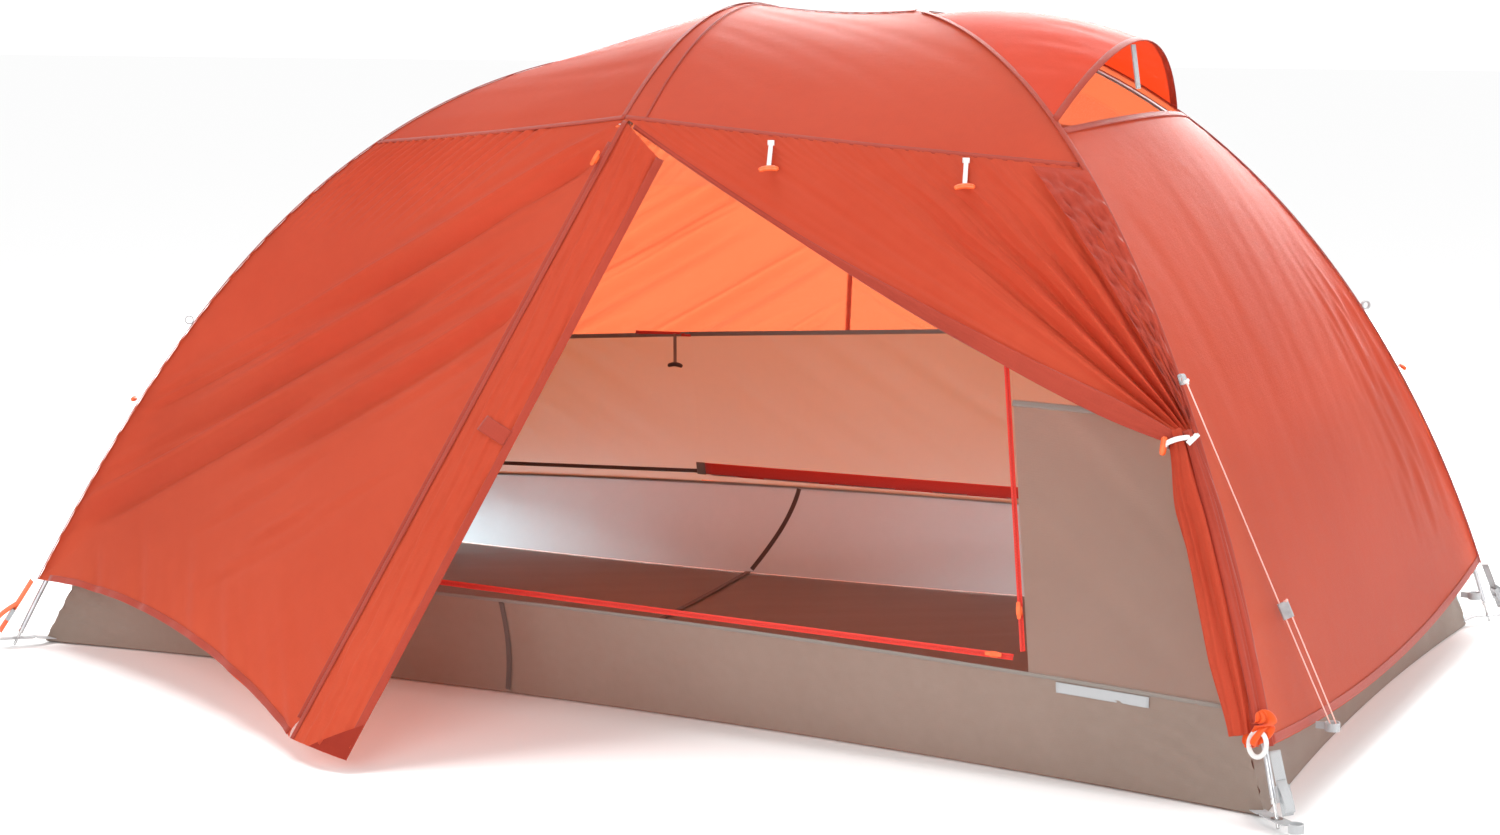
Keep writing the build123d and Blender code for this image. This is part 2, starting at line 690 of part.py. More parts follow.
def build_open_door():
    """The near head-end door, drawn back to the head leg and tied there."""
    drape = trimmed(open_door_drape(), 0, 0.98, 0.04, 0.985)
    save("fly_open_door_drape", cloth(drape, FLY_THICKNESS, (8, 10)))
    bundle_radius = 20.0
    aside = Vector(-26, -17, -4)
    points = [leg("head", NEAR, t) + aside for t in (0.105, 0.205, TIE_T["head"] - 0.02)]
    save("fly_open_door_roll", arc_tube(*points, bundle_radius))


# ---------------------------------------------------------------- straps, loops and line
def corner_frame(end, side):
    """The fly strap's line at a corner: its top under the hem, its bottom at the pole's foot."""
    outward = -9.0
    high = leg(end, side, HEM_T[end] - 0.004, outward)
    low = leg(end, side, 0.0, outward) + Vector(0, 0, 22)
    spec = LEGS[end]
    across = Vector(spec["tip"][1] * side, -(spec["tip"][0] - spec["hub"][0]), 0).normalized()
    return low, high, across


EYELET_RADIUS = 8.4


def build_corners():
    webbing, grommets, straps = [], [], []
    for end, side in CORNERS:
        line = pole_line(end, side)
        low, high, across = corner_frame(end, side)
        straps.append(bar(low, high, across, STRAP_WIDTH, STRAP_THICKNESS))
        # A tab with an eyelet takes the pole's tip, 13 mm off the ground.
        shoulder = line(LEG_SPAN[0] - SHOULDER_SHARE)
        axis = (line(LEG_SPAN[0] + SPIGOT_SHARE) - shoulder).normalized()
        at = shoulder - axis * ((shoulder.Z - 13.0) / axis.Z)
        sign = 1 if end == "head" else -1
        outward = Vector(sign * 0.76, side * 0.65, 0).normalized()
        plane = Plane(origin=at, x_dir=outward, z_dir=Vector(0, 0, 1))
        flange = Circle(EYELET_RADIUS) - Circle(EYELET_RADIUS / 2)
        grommets += (extrude(plane * flange, 1.2) + extrude(plane.offset(-1.2) * flange, 1.2)).solids()
        tab = extrude(plane.offset(-0.6) * (RectangleRounded(60, 22, 6) - Circle(EYELET_RADIUS + 0.4)), 1.4)
        corner = floor_corner(end, side) - outward * 22.0 + Vector(0, 0, 6.0)
        inner_end = at - outward * 30.5
        tail = bar(corner, inner_end, Vector(-outward.Y, outward.X, 0), 20.0, 1.4)
        loop = stake_loop(at + outward * 45.0, outward * -14.5)
        webbing += [*tab.solids(), *tail.solids(), *loop.solids()]
    save("corner_webbing", *webbing)
    save("corner_grommets", *grommets)
    save("fly_straps", *straps)


def build_ladder_locks():
    """The adjusters that tension the fly: a frame with a slot that the strap runs through."""
    for end, side in CORNERS:
        low, high, across = corner_frame(end, side)
        along = (high - low).normalized()
        centre = lerp(low, high, 0.34)
        lock = bar(centre - along * 11, centre + along * 11, across, STRAP_WIDTH + 6, 7.0)
        slot = bar(centre - along * 12, centre + along * 12, across, STRAP_WIDTH + 1.6, STRAP_THICKNESS + 1.6)
        window = bar(centre - along * 4, centre + along * 4, across, STRAP_WIDTH, 9.0)
        save(f"ladder_lock_{end}_{SIDE_NAMES[side]}", lock - slot - window)


# The guyline: taut from the loop on the leg down to the hem's loop, round it, and back up to its knot.
GUY_ROUTE = [
    Vector(940.6, -546.2, 578.1),
    Vector(1143.0, -488.4, 96.0),
    Vector(1148.5, -486.3, 89.6),
    Vector(1152.5, -484.1, 89.6),
    Vector(1152.5, -483.9, 96.0),
    Vector(1079.6, -504.7, 269.6),
]
GUY_RADII = [2.6, 2.6, 2.6, 2.6]  # the hem loop's own bend, shared out over four corners
HEM_LOOP = Vector(1147, 486, 92)
FOOT_HEM_LOOP = Vector(-1129, 0, 81)
TENSIONER_SHARE = 0.67  # how far down the line its tensioner sits


def build_guy_parts():
    loops = []
    for end, side in CORNERS:
        t = GUY_T[end]
        foot = leg(end, side, t)
        outward = (leg(end, side, t, -15.0) - foot).normalized()
        across = (leg(end, side, t + 0.01) - foot).cross(outward).normalized()
        centre = leg(end, side, t, -10.0)
        ring = rod(centre - across * 3, centre + across * 3, 8.0, 5.6)
        loops += ring.solids()
    save("guy_loops", *loops)
    hem_loops = []
    for side in (NEAR, FAR):
        hem_loops.append(stake_loop(side_of(HEM_LOOP, side), Vector(-24, 0, 0)))
    hem_loops.append(stake_loop(FOOT_HEM_LOOP, Vector(22, 0, 0)))
    save("hem_stake_loops", *hem_loops)


def build_guyline():
    path = FilletPolyline(*GUY_ROUTE, radius=GUY_RADII)
    tube = sweep(Plane(origin=path @ 0, z_dir=path % 0) * Circle(GUYLINE_RADIUS), path=path)
    expected = path.length * math.pi * GUYLINE_RADIUS**2
    print("guyline", round(path.length), "mm, radii", GUY_RADII, "volume share", tube.volume / expected)
    save("guyline", tube)
    # The tensioner is a flat bar with a hole for each of the line's two runs.
    top, bottom, back = GUY_ROUTE[0], GUY_ROUTE[1], GUY_ROUTE[4]
    along = (bottom - top).normalized()
    across = bottom - back - along * along.dot(bottom - back)
    half_gap = across.length / 2
    across = across.normalized()
    centre = lerp(top, bottom, TENSIONER_SHARE) - across * half_gap
    length, hole = 24.0, GUYLINE_RADIUS + 0.7
    plane = Plane(origin=centre - along * length / 2, x_dir=across, z_dir=along)
    body = extrude(plane * RectangleRounded(2 * (half_gap + hole + 1.7), 6, 2.6), length)
    for shift in (half_gap, -half_gap):
        body -= extrude(plane.offset(-1) * Pos(shift, 0) * Circle(hole), length + 2)
    save("guy_tensioner", body)


TOGGLE_BAR_RADIUS, TOGGLE_HALF_BAR = 4.0, 13.0


def toggle(high, low, across):
    """A toggle on its elastic: a strip from high to low, and a bar across its end."""
    along = (low - high).normalized()
    across = (across - along * across.dot(along)).normalized()
    half_bar = across * TOGGLE_HALF_BAR
    strip = bar(high, low - along * 4.5, across, 6.0, 1.5)
    return strip + rod(low - half_bar, low + half_bar, TOGGLE_BAR_RADIUS)


def toggle_on(surface, u, v, hang, stand, inside=Vector(0, 0, 450)):
    """A toggle hanging down a sheet of cloth, standing a little off it."""
    out = normal_of(surface, u, v)
    out = out * -1 if out.dot(inside - surface(u, v)) > 0 else out
    down = (out * out.Z - Vector(0, 0, 1)).normalized()
    high = surface(u, v) + out * stand
    return toggle(high, high + down * hang, out.cross(down))


def build_toggles():
    for side, surface in ((NEAR, open_door_drape()), (FAR, shoulder_patch("head", FAR))):
        for i, u in enumerate((0.3, 0.75), 1):
            share = u if side == NEAR else 1 - u
            save(f"roof_toggle_{SIDE_NAMES[side]}_{i}", toggle_on(surface, share, 0.975, TOGGLE_HANG, 9.0))
    high = doorway(FAR)(-0.03, 0.47) - doorway_out(FAR) * 8.0
    save("far_door_toggle", toggle(high, high - Vector(0, 0, 60), Vector(1, 0, 0)))
    for end, side in CORNERS:
        if (end, side) != ("head", NEAR):
            high, low = (leg(end, side, TIE_T[end] - drop, -10.0) for drop in (0.0, 0.028))
            made = toggle(high, low, leg(end, side, TIE_T[end], -20.0).cross(low - high))
            save(f"tie_toggle_{end}_{SIDE_NAMES[side]}", made)
    # The tie in use: a band round the gathered door, and the band round the rolled inner door.
    tie = leg("head", NEAR, TIE_T["head"]) + Vector(-26, -17, -4)
    along = (leg("head", NEAR, TIE_T["head"] + 0.01) - leg("head", NEAR, TIE_T["head"])).normalized()
    band = rod(tie - along * 16, tie - along * 8, 24.5, 21.5)
    edge = door_edge(DOOR_FOOT, NEAR)
    roll = edge(0.55) + Vector(-12, 42, 0)
    rise = (edge(0.6) - edge(0.5)).normalized()
    band_two = rod(roll - rise * 5, roll + rise * 5, 30.0, 27.2)
    save("door_ties", band, band_two)


def build_vent_strut():
    top = VENT_APEX + Vector(-16, 0, -6)
    low = Vector(VENT_APEX.X - 6, 0, VENT_APEX.Z - 76)
    save("vent_strut", bar(top, low, Vector(0, 1, 0), 20.0, 2.0))


def build_fly_zip_sliders():
    for name, side, share in (("near_flap_slider", NEAR, 0.93), ("far_flap_slider", FAR, 0.06)):
        peg, top = side_of(STAKE_POINT, side), side_of(CROSS_TIP, side)
        along = (top - peg).normalized()
        out = Vector(0.15, side * 0.85, 0.45)
        out = (out - along * out.dot(along)).normalized()
        at = lerp(peg, top, share) + out * 4.0 + Vector(-10, 0, 0)
        save(name, zip_slider(at, along, out))


build_poles()
build_pole_tips()
build_hubs()
build_tub()
build_inner_walls()
build_doors()
build_sliders()
build_clips()
build_fly_roof()
build_fly_ends()
build_vestibule_doors()
build_open_door()
build_corners()
build_ladder_locks()
build_guy_parts()
build_guyline()
build_toggles()
build_vent_strut()
build_fly_zip_sliders()
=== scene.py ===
"""The pitched tent's looks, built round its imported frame. Metres: -Y is the near side, +X the head end."""

import json
import math

import bpy
import bmesh
import numpy as np
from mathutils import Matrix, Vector


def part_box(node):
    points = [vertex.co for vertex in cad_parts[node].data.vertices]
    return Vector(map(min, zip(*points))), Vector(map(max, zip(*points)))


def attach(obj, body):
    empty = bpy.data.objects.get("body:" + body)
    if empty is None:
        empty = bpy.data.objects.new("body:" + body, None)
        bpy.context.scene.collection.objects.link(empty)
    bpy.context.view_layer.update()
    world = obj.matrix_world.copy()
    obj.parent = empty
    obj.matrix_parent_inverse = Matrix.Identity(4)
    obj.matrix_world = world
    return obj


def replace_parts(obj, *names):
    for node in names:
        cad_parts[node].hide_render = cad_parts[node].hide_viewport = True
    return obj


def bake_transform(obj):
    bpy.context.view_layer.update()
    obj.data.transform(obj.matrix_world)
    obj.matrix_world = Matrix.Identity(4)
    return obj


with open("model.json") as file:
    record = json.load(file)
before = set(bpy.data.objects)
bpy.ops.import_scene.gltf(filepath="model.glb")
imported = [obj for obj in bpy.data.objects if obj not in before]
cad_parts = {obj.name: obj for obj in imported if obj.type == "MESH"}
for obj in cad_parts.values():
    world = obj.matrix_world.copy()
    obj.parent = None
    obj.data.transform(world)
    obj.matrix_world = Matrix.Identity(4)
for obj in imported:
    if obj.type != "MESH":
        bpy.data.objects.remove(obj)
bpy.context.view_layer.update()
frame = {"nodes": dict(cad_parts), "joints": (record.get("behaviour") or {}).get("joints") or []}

# ---------------------------------------------------------------- driving sizes, as the frame has them
LEGS = {
    "head": {"tip": (1.142, 0.715), "hub": (0.300, 1.088), "low": (0.165, 0.520), "high": (0.550, 1.040)},
    "foot": {"tip": (-1.142, 0.605), "hub": (-0.350, 1.003), "low": (0.215, 0.420), "high": (0.500, 0.905)},
}
FLOOR_CORNERS = {"head": (1.100, 0.660), "foot": (-1.100, 0.550)}
ROOF_SEAM_T = {"head": 0.625, "foot": 0.745}
HEM_T = {"head": 0.07, "foot": 0.09}
CROSS_TIP = (0.0, 0.452, 0.922)
PEAK = (0.0, 0.0, 1.100)
VENT_T = 0.69
VENT_APEX = (0.690, 0.0, 1.042)
STAKE_POINT = (-0.275, 0.990, 0.030)
TIE_T = {"head": 0.335, "foot": 0.358}
HEM_SAG = 0.034
FLOOR_BOW = 0.085
TUB_CORNER_HEIGHT = 0.145
TUB_RISE = 0.025
CANOPY_INSET = 0.055
DOOR_FOOT = (-0.330, 0.368)
DOOR_FOOT_X = -0.380
DOOR_HEAD = (0.585, 0.345)
DOOR_HEAD_X = 0.742
DOOR_TOP = 0.815
ZIP_V = 0.026
NEAR, FAR = -1, 1
SIDES = {NEAR: "near", FAR: "far"}
MIDDLE = np.array((0.0, 0.0, 0.38))

# ---------------------------------------------------------------- camera
CAMERA_AT = (2.085, -4.303, 1.108)
CAMERA_AZIMUTH, CAMERA_ELEVATION = 25.88, 8.51
FOCAL_SHARE = 2800 / 1500  # focal length over the picture's width


def add_camera():
    data = bpy.data.cameras.new("camera")
    camera = bpy.data.objects.new("camera", data)
    bpy.context.collection.objects.link(camera)
    camera.location = CAMERA_AT
    azimuth, elevation = math.radians(CAMERA_AZIMUTH), math.radians(CAMERA_ELEVATION)
    look = Vector(
        (
            -math.sin(azimuth) * math.cos(elevation),
            math.cos(azimuth) * math.cos(elevation),
            -math.sin(elevation),
        )
    )
    camera.rotation_euler = look.to_track_quat("-Z", "Y").to_euler()
    data.sensor_width = 36
    data.lens = 36 * FOCAL_SHARE
    bpy.context.scene.camera = camera


# ---------------------------------------------------------------- materials
def new_material(name):
    material = bpy.data.materials.new(name)
    material.use_nodes = True
    tree = material.node_tree
    return material, tree, tree.nodes["Principled BSDF"], tree.nodes["Material Output"]


def node(tree, kind, **settings):
    made = tree.nodes.new(kind)
    for key, value in settings.items():
        setattr(made, key, value)
    return made


def ramp(tree, source, low, high, colours):
    """A colour ramp fed by source: colours from low to high."""
    made = node(tree, "ShaderNodeValToRGB")
    made.color_ramp.elements[0].position = low
    made.color_ramp.elements[1].position = high
    made.color_ramp.elements[0].color = (*colours[0], 1)
    made.color_ramp.elements[1].color = (*colours[1], 1)
    tree.links.new(source, made.inputs["Fac"])
    return made.outputs["Color"]


def noise(tree, scale, detail=4.0, coordinates=None, roughness=0.55):
    made = node(tree, "ShaderNodeTexNoise")
    made.inputs["Scale"].default_value = scale
    made.inputs["Detail"].default_value = detail
    made.inputs["Roughness"].default_value = roughness
    tree.links.new(coordinates, made.inputs["Vector"])
    return made.outputs["Fac"]


def math_node(tree, operation, a, b=None):
    made = node(tree, "ShaderNodeMath", operation=operation)
    for socket, value in zip(made.inputs, (a, b)):
        if value is None:
            continue
        if isinstance(value, (int, float)):
            socket.default_value = value
        else:
            tree.links.new(value, socket)
    return made.outputs["Value"]


def weave_height(tree, uv, pitch):
    """The height of a plain weave of that pitch, from UVs in metres."""
    scaled = node(tree, "ShaderNodeVectorMath", operation="SCALE")
    scaled.inputs["Scale"].default_value = 2 * math.pi / pitch
    tree.links.new(uv, scaled.inputs[0])
    split = node(tree, "ShaderNodeSeparateXYZ")
    tree.links.new(scaled.outputs[0], split.inputs[0])
    warp = math_node(tree, "SINE", split.outputs["X"])
    weft = math_node(tree, "SINE", split.outputs["Y"])
    return math_node(tree, "MULTIPLY", warp, weft)


def grid_lines(tree, uv, pitch, sharpness):
    """A ripstop grid: 1 on its lines, 0 between, from UVs in metres."""
    scaled = node(tree, "ShaderNodeVectorMath", operation="SCALE")
    scaled.inputs["Scale"].default_value = math.pi / pitch
    tree.links.new(uv, scaled.inputs[0])
    split = node(tree, "ShaderNodeSeparateXYZ")
    tree.links.new(scaled.outputs[0], split.inputs[0])
    lines = [
        math_node(tree, "POWER", math_node(tree, "ABSOLUTE", math_node(tree, "SINE", axis)), sharpness)
        for axis in (split.outputs["X"], split.outputs["Y"])
    ]
    return math_node(tree, "MAXIMUM", *lines)


def bump(tree, shader, height, strength, distance):
    made = node(tree, "ShaderNodeBump")
    made.inputs["Strength"].default_value = strength
    made.inputs["Distance"].default_value = distance
    tree.links.new(height, made.inputs["Height"])
    for s in shader:
        tree.links.new(made.outputs["Normal"], s.inputs["Normal"])


def cloth_material(name, dark, light, through, share, roughness, sheen, ripstop=0.0052):
    """Thin woven nylon, dark to light. through is the colour of the share of light that it passes."""
    material, tree, shader, output = new_material(name)
    place = node(tree, "ShaderNodeTexCoord").outputs["Object"]
    uv = node(tree, "ShaderNodeUVMap", uv_map="cloth").outputs["UV"]
    soft = noise(tree, 2.2, 3.0, place)
    fine = noise(tree, 55.0, 3.0, place)
    lines = grid_lines(tree, uv, ripstop, 26.0)
    mixed = math_node(
        tree, "ADD", math_node(tree, "MULTIPLY", soft, 0.75), math_node(tree, "MULTIPLY", fine, 0.25)
    )
    toned = math_node(tree, "SUBTRACT", mixed, math_node(tree, "MULTIPLY", lines, 0.06))
    tree.links.new(ramp(tree, toned, 0.30, 0.70, (dark, light)), shader.inputs["Base Color"])
    rough = node(tree, "ShaderNodeMapRange")
    rough.inputs["To Min"].default_value = roughness - 0.05
    rough.inputs["To Max"].default_value = roughness + 0.08
    tree.links.new(fine, rough.inputs["Value"])
    tree.links.new(rough.outputs["Result"], shader.inputs["Roughness"])
    shader.inputs["Sheen Weight"].default_value = sheen
    shader.inputs["Sheen Roughness"].default_value = 0.45
    shader.inputs["Specular IOR Level"].default_value = 0.09
    back = node(tree, "ShaderNodeBsdfTranslucent")
    back.inputs["Color"].default_value = (*through, 1)
    mix = node(tree, "ShaderNodeMixShader")
    mix.inputs["Fac"].default_value = share
    tree.links.new(shader.outputs[0], mix.inputs[1])
    tree.links.new(back.outputs[0], mix.inputs[2])
    tree.links.new(mix.outputs[0], output.inputs["Surface"])
    crumple = noise(tree, 16.0, 5.0, place, 0.6)
    weave = weave_height(tree, uv, 0.0011)
    height = math_node(tree, "ADD", crumple, math_node(tree, "MULTIPLY", weave, 0.02))
    height = math_node(tree, "ADD", height, math_node(tree, "MULTIPLY", lines, 0.05))
    bump(tree, (shader, back), height, 0.30, 0.004)
    return material


def netting_material(name, colour, cover):
    """Fine netting: a hexagonal-looking mesh of holes, with the light that comes through it."""
    material, tree, shader, output = new_material(name)
    uv = node(tree, "ShaderNodeUVMap", uv_map="cloth").outputs["UV"]
    place = node(tree, "ShaderNodeTexCoord").outputs["Object"]
    holes = grid_lines(tree, uv, 0.0016, 3.0)
    soft = noise(tree, 3.0, 3.0, place)
    tree.links.new(
        ramp(tree, soft, 0.3, 0.7, (colour, tuple(c * 1.15 for c in colour))), shader.inputs["Base Color"]
    )
    shader.inputs["Roughness"].default_value = 0.8
    clear = node(tree, "ShaderNodeBsdfTransparent")
    share = node(tree, "ShaderNodeMapRange")
    share.inputs["To Min"].default_value = cover * 0.6
    share.inputs["To Max"].default_value = min(1.0, cover * 1.4)
    tree.links.new(holes, share.inputs["Value"])
    mix = node(tree, "ShaderNodeMixShader")
    tree.links.new(share.outputs["Result"], mix.inputs["Fac"])
    tree.links.new(clear.outputs[0], mix.inputs[1])
    tree.links.new(shader.outputs[0], mix.inputs[2])
    tree.links.new(mix.outputs[0], output.inputs["Surface"])
    return material


MOULD_GRAIN = 120.0


def solid_material(name, dark, light, roughness):
    """Moulded plastic with a fine surface of its own."""
    material, tree, shader, _ = new_material(name)
    place = node(tree, "ShaderNodeTexCoord").outputs["Object"]
    tone = noise(tree, MOULD_GRAIN, 4.0, place)
    tree.links.new(ramp(tree, tone, 0.3, 0.7, (dark, light)), shader.inputs["Base Color"])
    rough = node(tree, "ShaderNodeMapRange")
    rough.inputs["To Min"].default_value = max(0.05, roughness - 0.08)
    rough.inputs["To Max"].default_value = min(1.0, roughness + 0.08)
    tree.links.new(tone, rough.inputs["Value"])
    tree.links.new(rough.outputs["Result"], shader.inputs["Roughness"])
    bump(tree, (shader,), noise(tree, MOULD_GRAIN * 6, 2.0, place), 0.35, 0.0004)
    return material


def webbing_material(name, dark, light, pitch=0.0024):
    """Woven tape: ribs across it, from UVs in metres along and across."""
    material, tree, shader, _ = new_material(name)
    uv = node(tree, "ShaderNodeUVMap", uv_map="cloth").outputs["UV"]
    ribs = weave_height(tree, uv, pitch)
    lifted = math_node(tree, "ADD", math_node(tree, "MULTIPLY", ribs, 0.5), 0.5)
    tree.links.new(ramp(tree, lifted, 0.0, 1.0, (dark, light)), shader.inputs["Base Color"])
    shader.inputs["Roughness"].default_value = 0.75
    shader.inputs["Sheen Weight"].default_value = 0.2
    bump(tree, (shader,), ribs, 0.5, 0.0006)
    return material


def brushed_material(name, dark, light, roughness):
    """Anodised tube: fine streaks and a satin shine."""
    material, tree, shader, _ = new_material(name)
    place = node(tree, "ShaderNodeTexCoord").outputs["Object"]
    tone = noise(tree, 40.0, 6.0, place)
    tree.links.new(ramp(tree, tone, 0.3, 0.7, (dark, light)), shader.inputs["Base Color"])
    shader.inputs["Metallic"].default_value = 0.85
    rough = node(tree, "ShaderNodeMapRange")
    rough.inputs["To Min"].default_value = roughness
    rough.inputs["To Max"].default_value = roughness + 0.12
    tree.links.new(tone, rough.inputs["Value"])
    tree.links.new(rough.outputs["Result"], shader.inputs["Roughness"])
    return material


FLY = cloth_material(
    "fly_nylon", (0.45, 0.060, 0.029), (0.54, 0.084, 0.042), (1.0, 0.22, 0.085), 0.32, 0.45, 0.04
)
# A brighter, more saturated copy of the fly nylon: painted glow, for the bunch at the foot of the gathered
# door.
FLY_PAINTED_GLOW = cloth_material(
    "fly_nylon_painted_glow", (0.80, 0.10, 0.020), (0.90, 0.15, 0.035), (1.0, 0.2, 0.05), 0.3, 0.4, 0.2
)
# A copy of the fly nylon for the vent hood, lighter and passing a deeper red: painted light on the hood and
# painted shade in its hollow.
HOOD_FLY_PAINTED_LIGHT = cloth_material(
    "fly_nylon_hood_painted_light", (0.56, 0.058, 0.026), (0.66, 0.080, 0.038), (0.9, 0.06, 0.008), 0.30, 0.45, 0.03
)
# A much darker copy of the fly nylon that lets little light through: painted shade, for the small patch at
# the storm strip's foot.
FLY_TIP_PAINTED_SHADE = cloth_material(
    "fly_nylon_tip_painted_shade", (0.26, 0.024, 0.012), (0.33, 0.034, 0.018), (0.5, 0.05, 0.02), 0.06, 0.5, 0.0
)
# Darker fly nylon that lets less light through: the seams' and hems' own doubled cloth, and painted shade
# where the drape folds along the leg.
FLY_SEAM_AND_SHADE = cloth_material(
    "fly_seam_and_shade", (0.34, 0.045, 0.026), (0.44, 0.062, 0.036), (0.7, 0.08, 0.04), 0.12, 0.5, 0.2
)
INNER = cloth_material(
    "inner_nylon", (0.38, 0.26, 0.22), (0.46, 0.32, 0.27), (0.66, 0.95, 1.0), 0.55, 0.6, 0.1, 0.004
)
GROUND = cloth_material(
    "groundsheet", (0.26, 0.205, 0.17), (0.33, 0.265, 0.225), (0.50, 0.40, 0.34), 0.25, 0.45, 0.15, 0.004
)
# A lighter, bluer copy of the groundsheet that passes more light: painted light, for the far tub wall where
# light comes in under the far fly's hem.
FAR_TUB_LIT = cloth_material(
    "groundsheet_lit", (0.34, 0.36, 0.36), (0.42, 0.44, 0.44), (0.50, 0.64, 0.70), 0.5, 0.5, 0.1, 0.004
)
NETTING = netting_material("netting", (0.62, 0.30, 0.20), 0.12)
SEAM_TAPE = webbing_material("seam_tape", (0.09, 0.055, 0.045), (0.13, 0.085, 0.07))
GREY_TAPE = webbing_material("grey_tape", (0.20, 0.17, 0.15), (0.28, 0.24, 0.21))
WEBBING = webbing_material("grey_webbing", (0.36, 0.37, 0.38), (0.52, 0.53, 0.54))
WHITE_TAPE = webbing_material("white_elastic", (0.70, 0.68, 0.66), (0.88, 0.87, 0.85), 0.0018)
RED_TAPE = webbing_material("red_tape", (0.72, 0.025, 0.014), (0.85, 0.045, 0.024), 0.0018)
ORANGE_TAPE = webbing_material("orange_tape", (0.75, 0.10, 0.02), (0.95, 0.18, 0.05), 0.002)
ORANGE_PLASTIC = solid_material("orange_plastic", (0.85, 0.11, 0.02), (0.95, 0.16, 0.04), 0.4)
GREY_PLASTIC = solid_material("grey_plastic", (0.30, 0.31, 0.32), (0.40, 0.41, 0.42), 0.45)
BLACK_PLASTIC = solid_material("black_plastic", (0.015, 0.015, 0.017), (0.03, 0.03, 0.033), 0.5)
DARK_CLIP = solid_material("dark_clip", (0.03, 0.03, 0.032), (0.06, 0.06, 0.062), 0.55)
ALLOY = brushed_material("anodised_tube", (0.45, 0.46, 0.48), (0.58, 0.59, 0.61), 0.28)
STEEL = brushed_material("pressed_steel", (0.50, 0.50, 0.50), (0.68, 0.68, 0.68), 0.22)
CORD = webbing_material("guy_cord", (0.78, 0.30, 0.22), (0.92, 0.70, 0.64), 0.0035)
SHOCK = webbing_material("shock_cord", (0.70, 0.70, 0.70), (0.85, 0.85, 0.85), 0.002)


# ---------------------------------------------------------------- curves and surfaces, on arrays of u and v
def at(point, side=1):
    return np.array((point[0], point[1] * side, point[2]), float)


def lerp(a, b, t):
    t = np.asarray(t, float)[..., None]
    return a + (b - a) * t


def segment(a, b):
    return lambda t: lerp(a, b, t)


def bowed(a, b, bow):
    """From a to b, with the middle moved by bow."""
    return lambda t: lerp(a, b, t) + np.asarray(bow) * (4 * np.asarray(t) * (1 - np.asarray(t)))[..., None]


def leg(end, side, t, inset=0.0):
    """A leg's curve, t from its tip to its hub, moved in towards the room by inset."""
    spec = LEGS[end]
    t = np.asarray(t, float)
    tip = np.array((spec["tip"][0], spec["tip"][1] * side))
    run = np.array((spec["hub"][0], 0.0)) - tip
    reach = math.hypot(*run)
    run = run / reach
    across = (0.0, spec["low"][0], spec["high"][0], reach)
    up = (0.0, spec["low"][1], spec["high"][1], spec["hub"][1])
    blend = ((1 - t) ** 3, 3 * t * (1 - t) ** 2, 3 * t * t * (1 - t), t**3)
    slope = (-3 * (1 - t) ** 2, 3 * (1 - t) * (1 - 3 * t), 3 * t * (2 - 3 * t), 3 * t * t)
    x, z = (sum(b * c for b, c in zip(blend, values)) for values in (across, up))
    dx, dz = (sum(s * c for s, c in zip(slope, values)) for values in (across, up))
    size = np.hypot(dx, dz)
    x, z = x + inset * dz / size, z - inset * dx / size
    return np.stack([tip[0] + run[0] * x, tip[1] + run[1] * x, z], -1)


def leg_between(end, side, start, stop, inset=0.0):
    return lambda t: leg(end, side, start + (stop - start) * np.asarray(t, float), inset)


def leg_at_height(end, side, height, inset):
    low, high = 0.0, 0.9
    for _ in range(40):
        middle = (low + high) / 2
        low, high = (middle, high) if leg(end, side, middle, inset)[2] < height else (low, middle)
    return low


def coons(low, high, left, right):
    """The patch between four edges: low and high run with u, left and right with v."""
    corners = [
        np.asarray(edge(np.array(t))) for edge, t in ((low, 0.0), (low, 1.0), (high, 0.0), (high, 1.0))
    ]

    def surface(u, v):
        flat = lerp(lerp(corners[0], corners[1], u), lerp(corners[2], corners[3], u), v)
        return lerp(low(u), high(u), v) + lerp(left(v), right(v), u) - flat

    return surface


def part_of(surface, u0, u1, v0, v1):
    return lambda u, v: surface(u0 + (u1 - u0) * np.asarray(u), v0 + (v1 - v0) * np.asarray(v))


def roof_corner(end, side):
    return leg(end, side, ROOF_SEAM_T[end])


def hub_top(end):
    return np.array((LEGS[end]["hub"][0], 0.0, LEGS[end]["hub"][1]))


def cross_seam(side):
    return bowed(at(PEAK), at(CROSS_TIP, side), (0, 0, 0.044))


def roof_patch(end, side):
    ridge = bowed(at(PEAK), hub_top(end), (0, 0, -0.009 if end == "head" else 0.0))
    seam = bowed(at(CROSS_TIP, side), roof_corner(end, side), (0, 0, -0.003))
    return coons(ridge, seam, cross_seam(side), leg_between(end, side, 1.0, ROOF_SEAM_T[end]))


def shoulder_patch(end, side):
    corner, top = leg(end, side, HEM_T[end]), at(CROSS_TIP, side)
    seam = bowed(roof_corner(end, side), top, (0, 0, -0.003))
    point = lambda u: lerp(corner, corner, u)
    return coons(point, seam, leg_between(end, side, HEM_T[end], ROOF_SEAM_T[end]), segment(corner, top))


def door_patch(end, side, gap=0.0):
    """A vestibule door: u from the line it swings on to its zip, v from its hem to its top."""
    corner, top, peg = leg(end, side, HEM_T[end]), at(CROSS_TIP, side), at(STAKE_POINT, side)
    toward = np.array((gap if end == "head" else -gap, 0, 0))
    zip_line = segment(peg + toward, top + toward * 0.3)
    hem = bowed(corner, peg + toward, (0, -0.035 * side, 0.038))
    return coons(hem, lambda u: lerp(top, top + toward * 0.3, u), segment(corner, top), zip_line)


def end_panel(end, stop, dip):
    left, right = (leg_between(end, side, HEM_T[end], stop) for side in (NEAR, FAR))
    hem = bowed(left(0.0), right(0.0), (0.010 if end == "head" else -0.010, 0, -HEM_SAG))
    return coons(hem, bowed(left(1.0), right(1.0), dip), left, right)


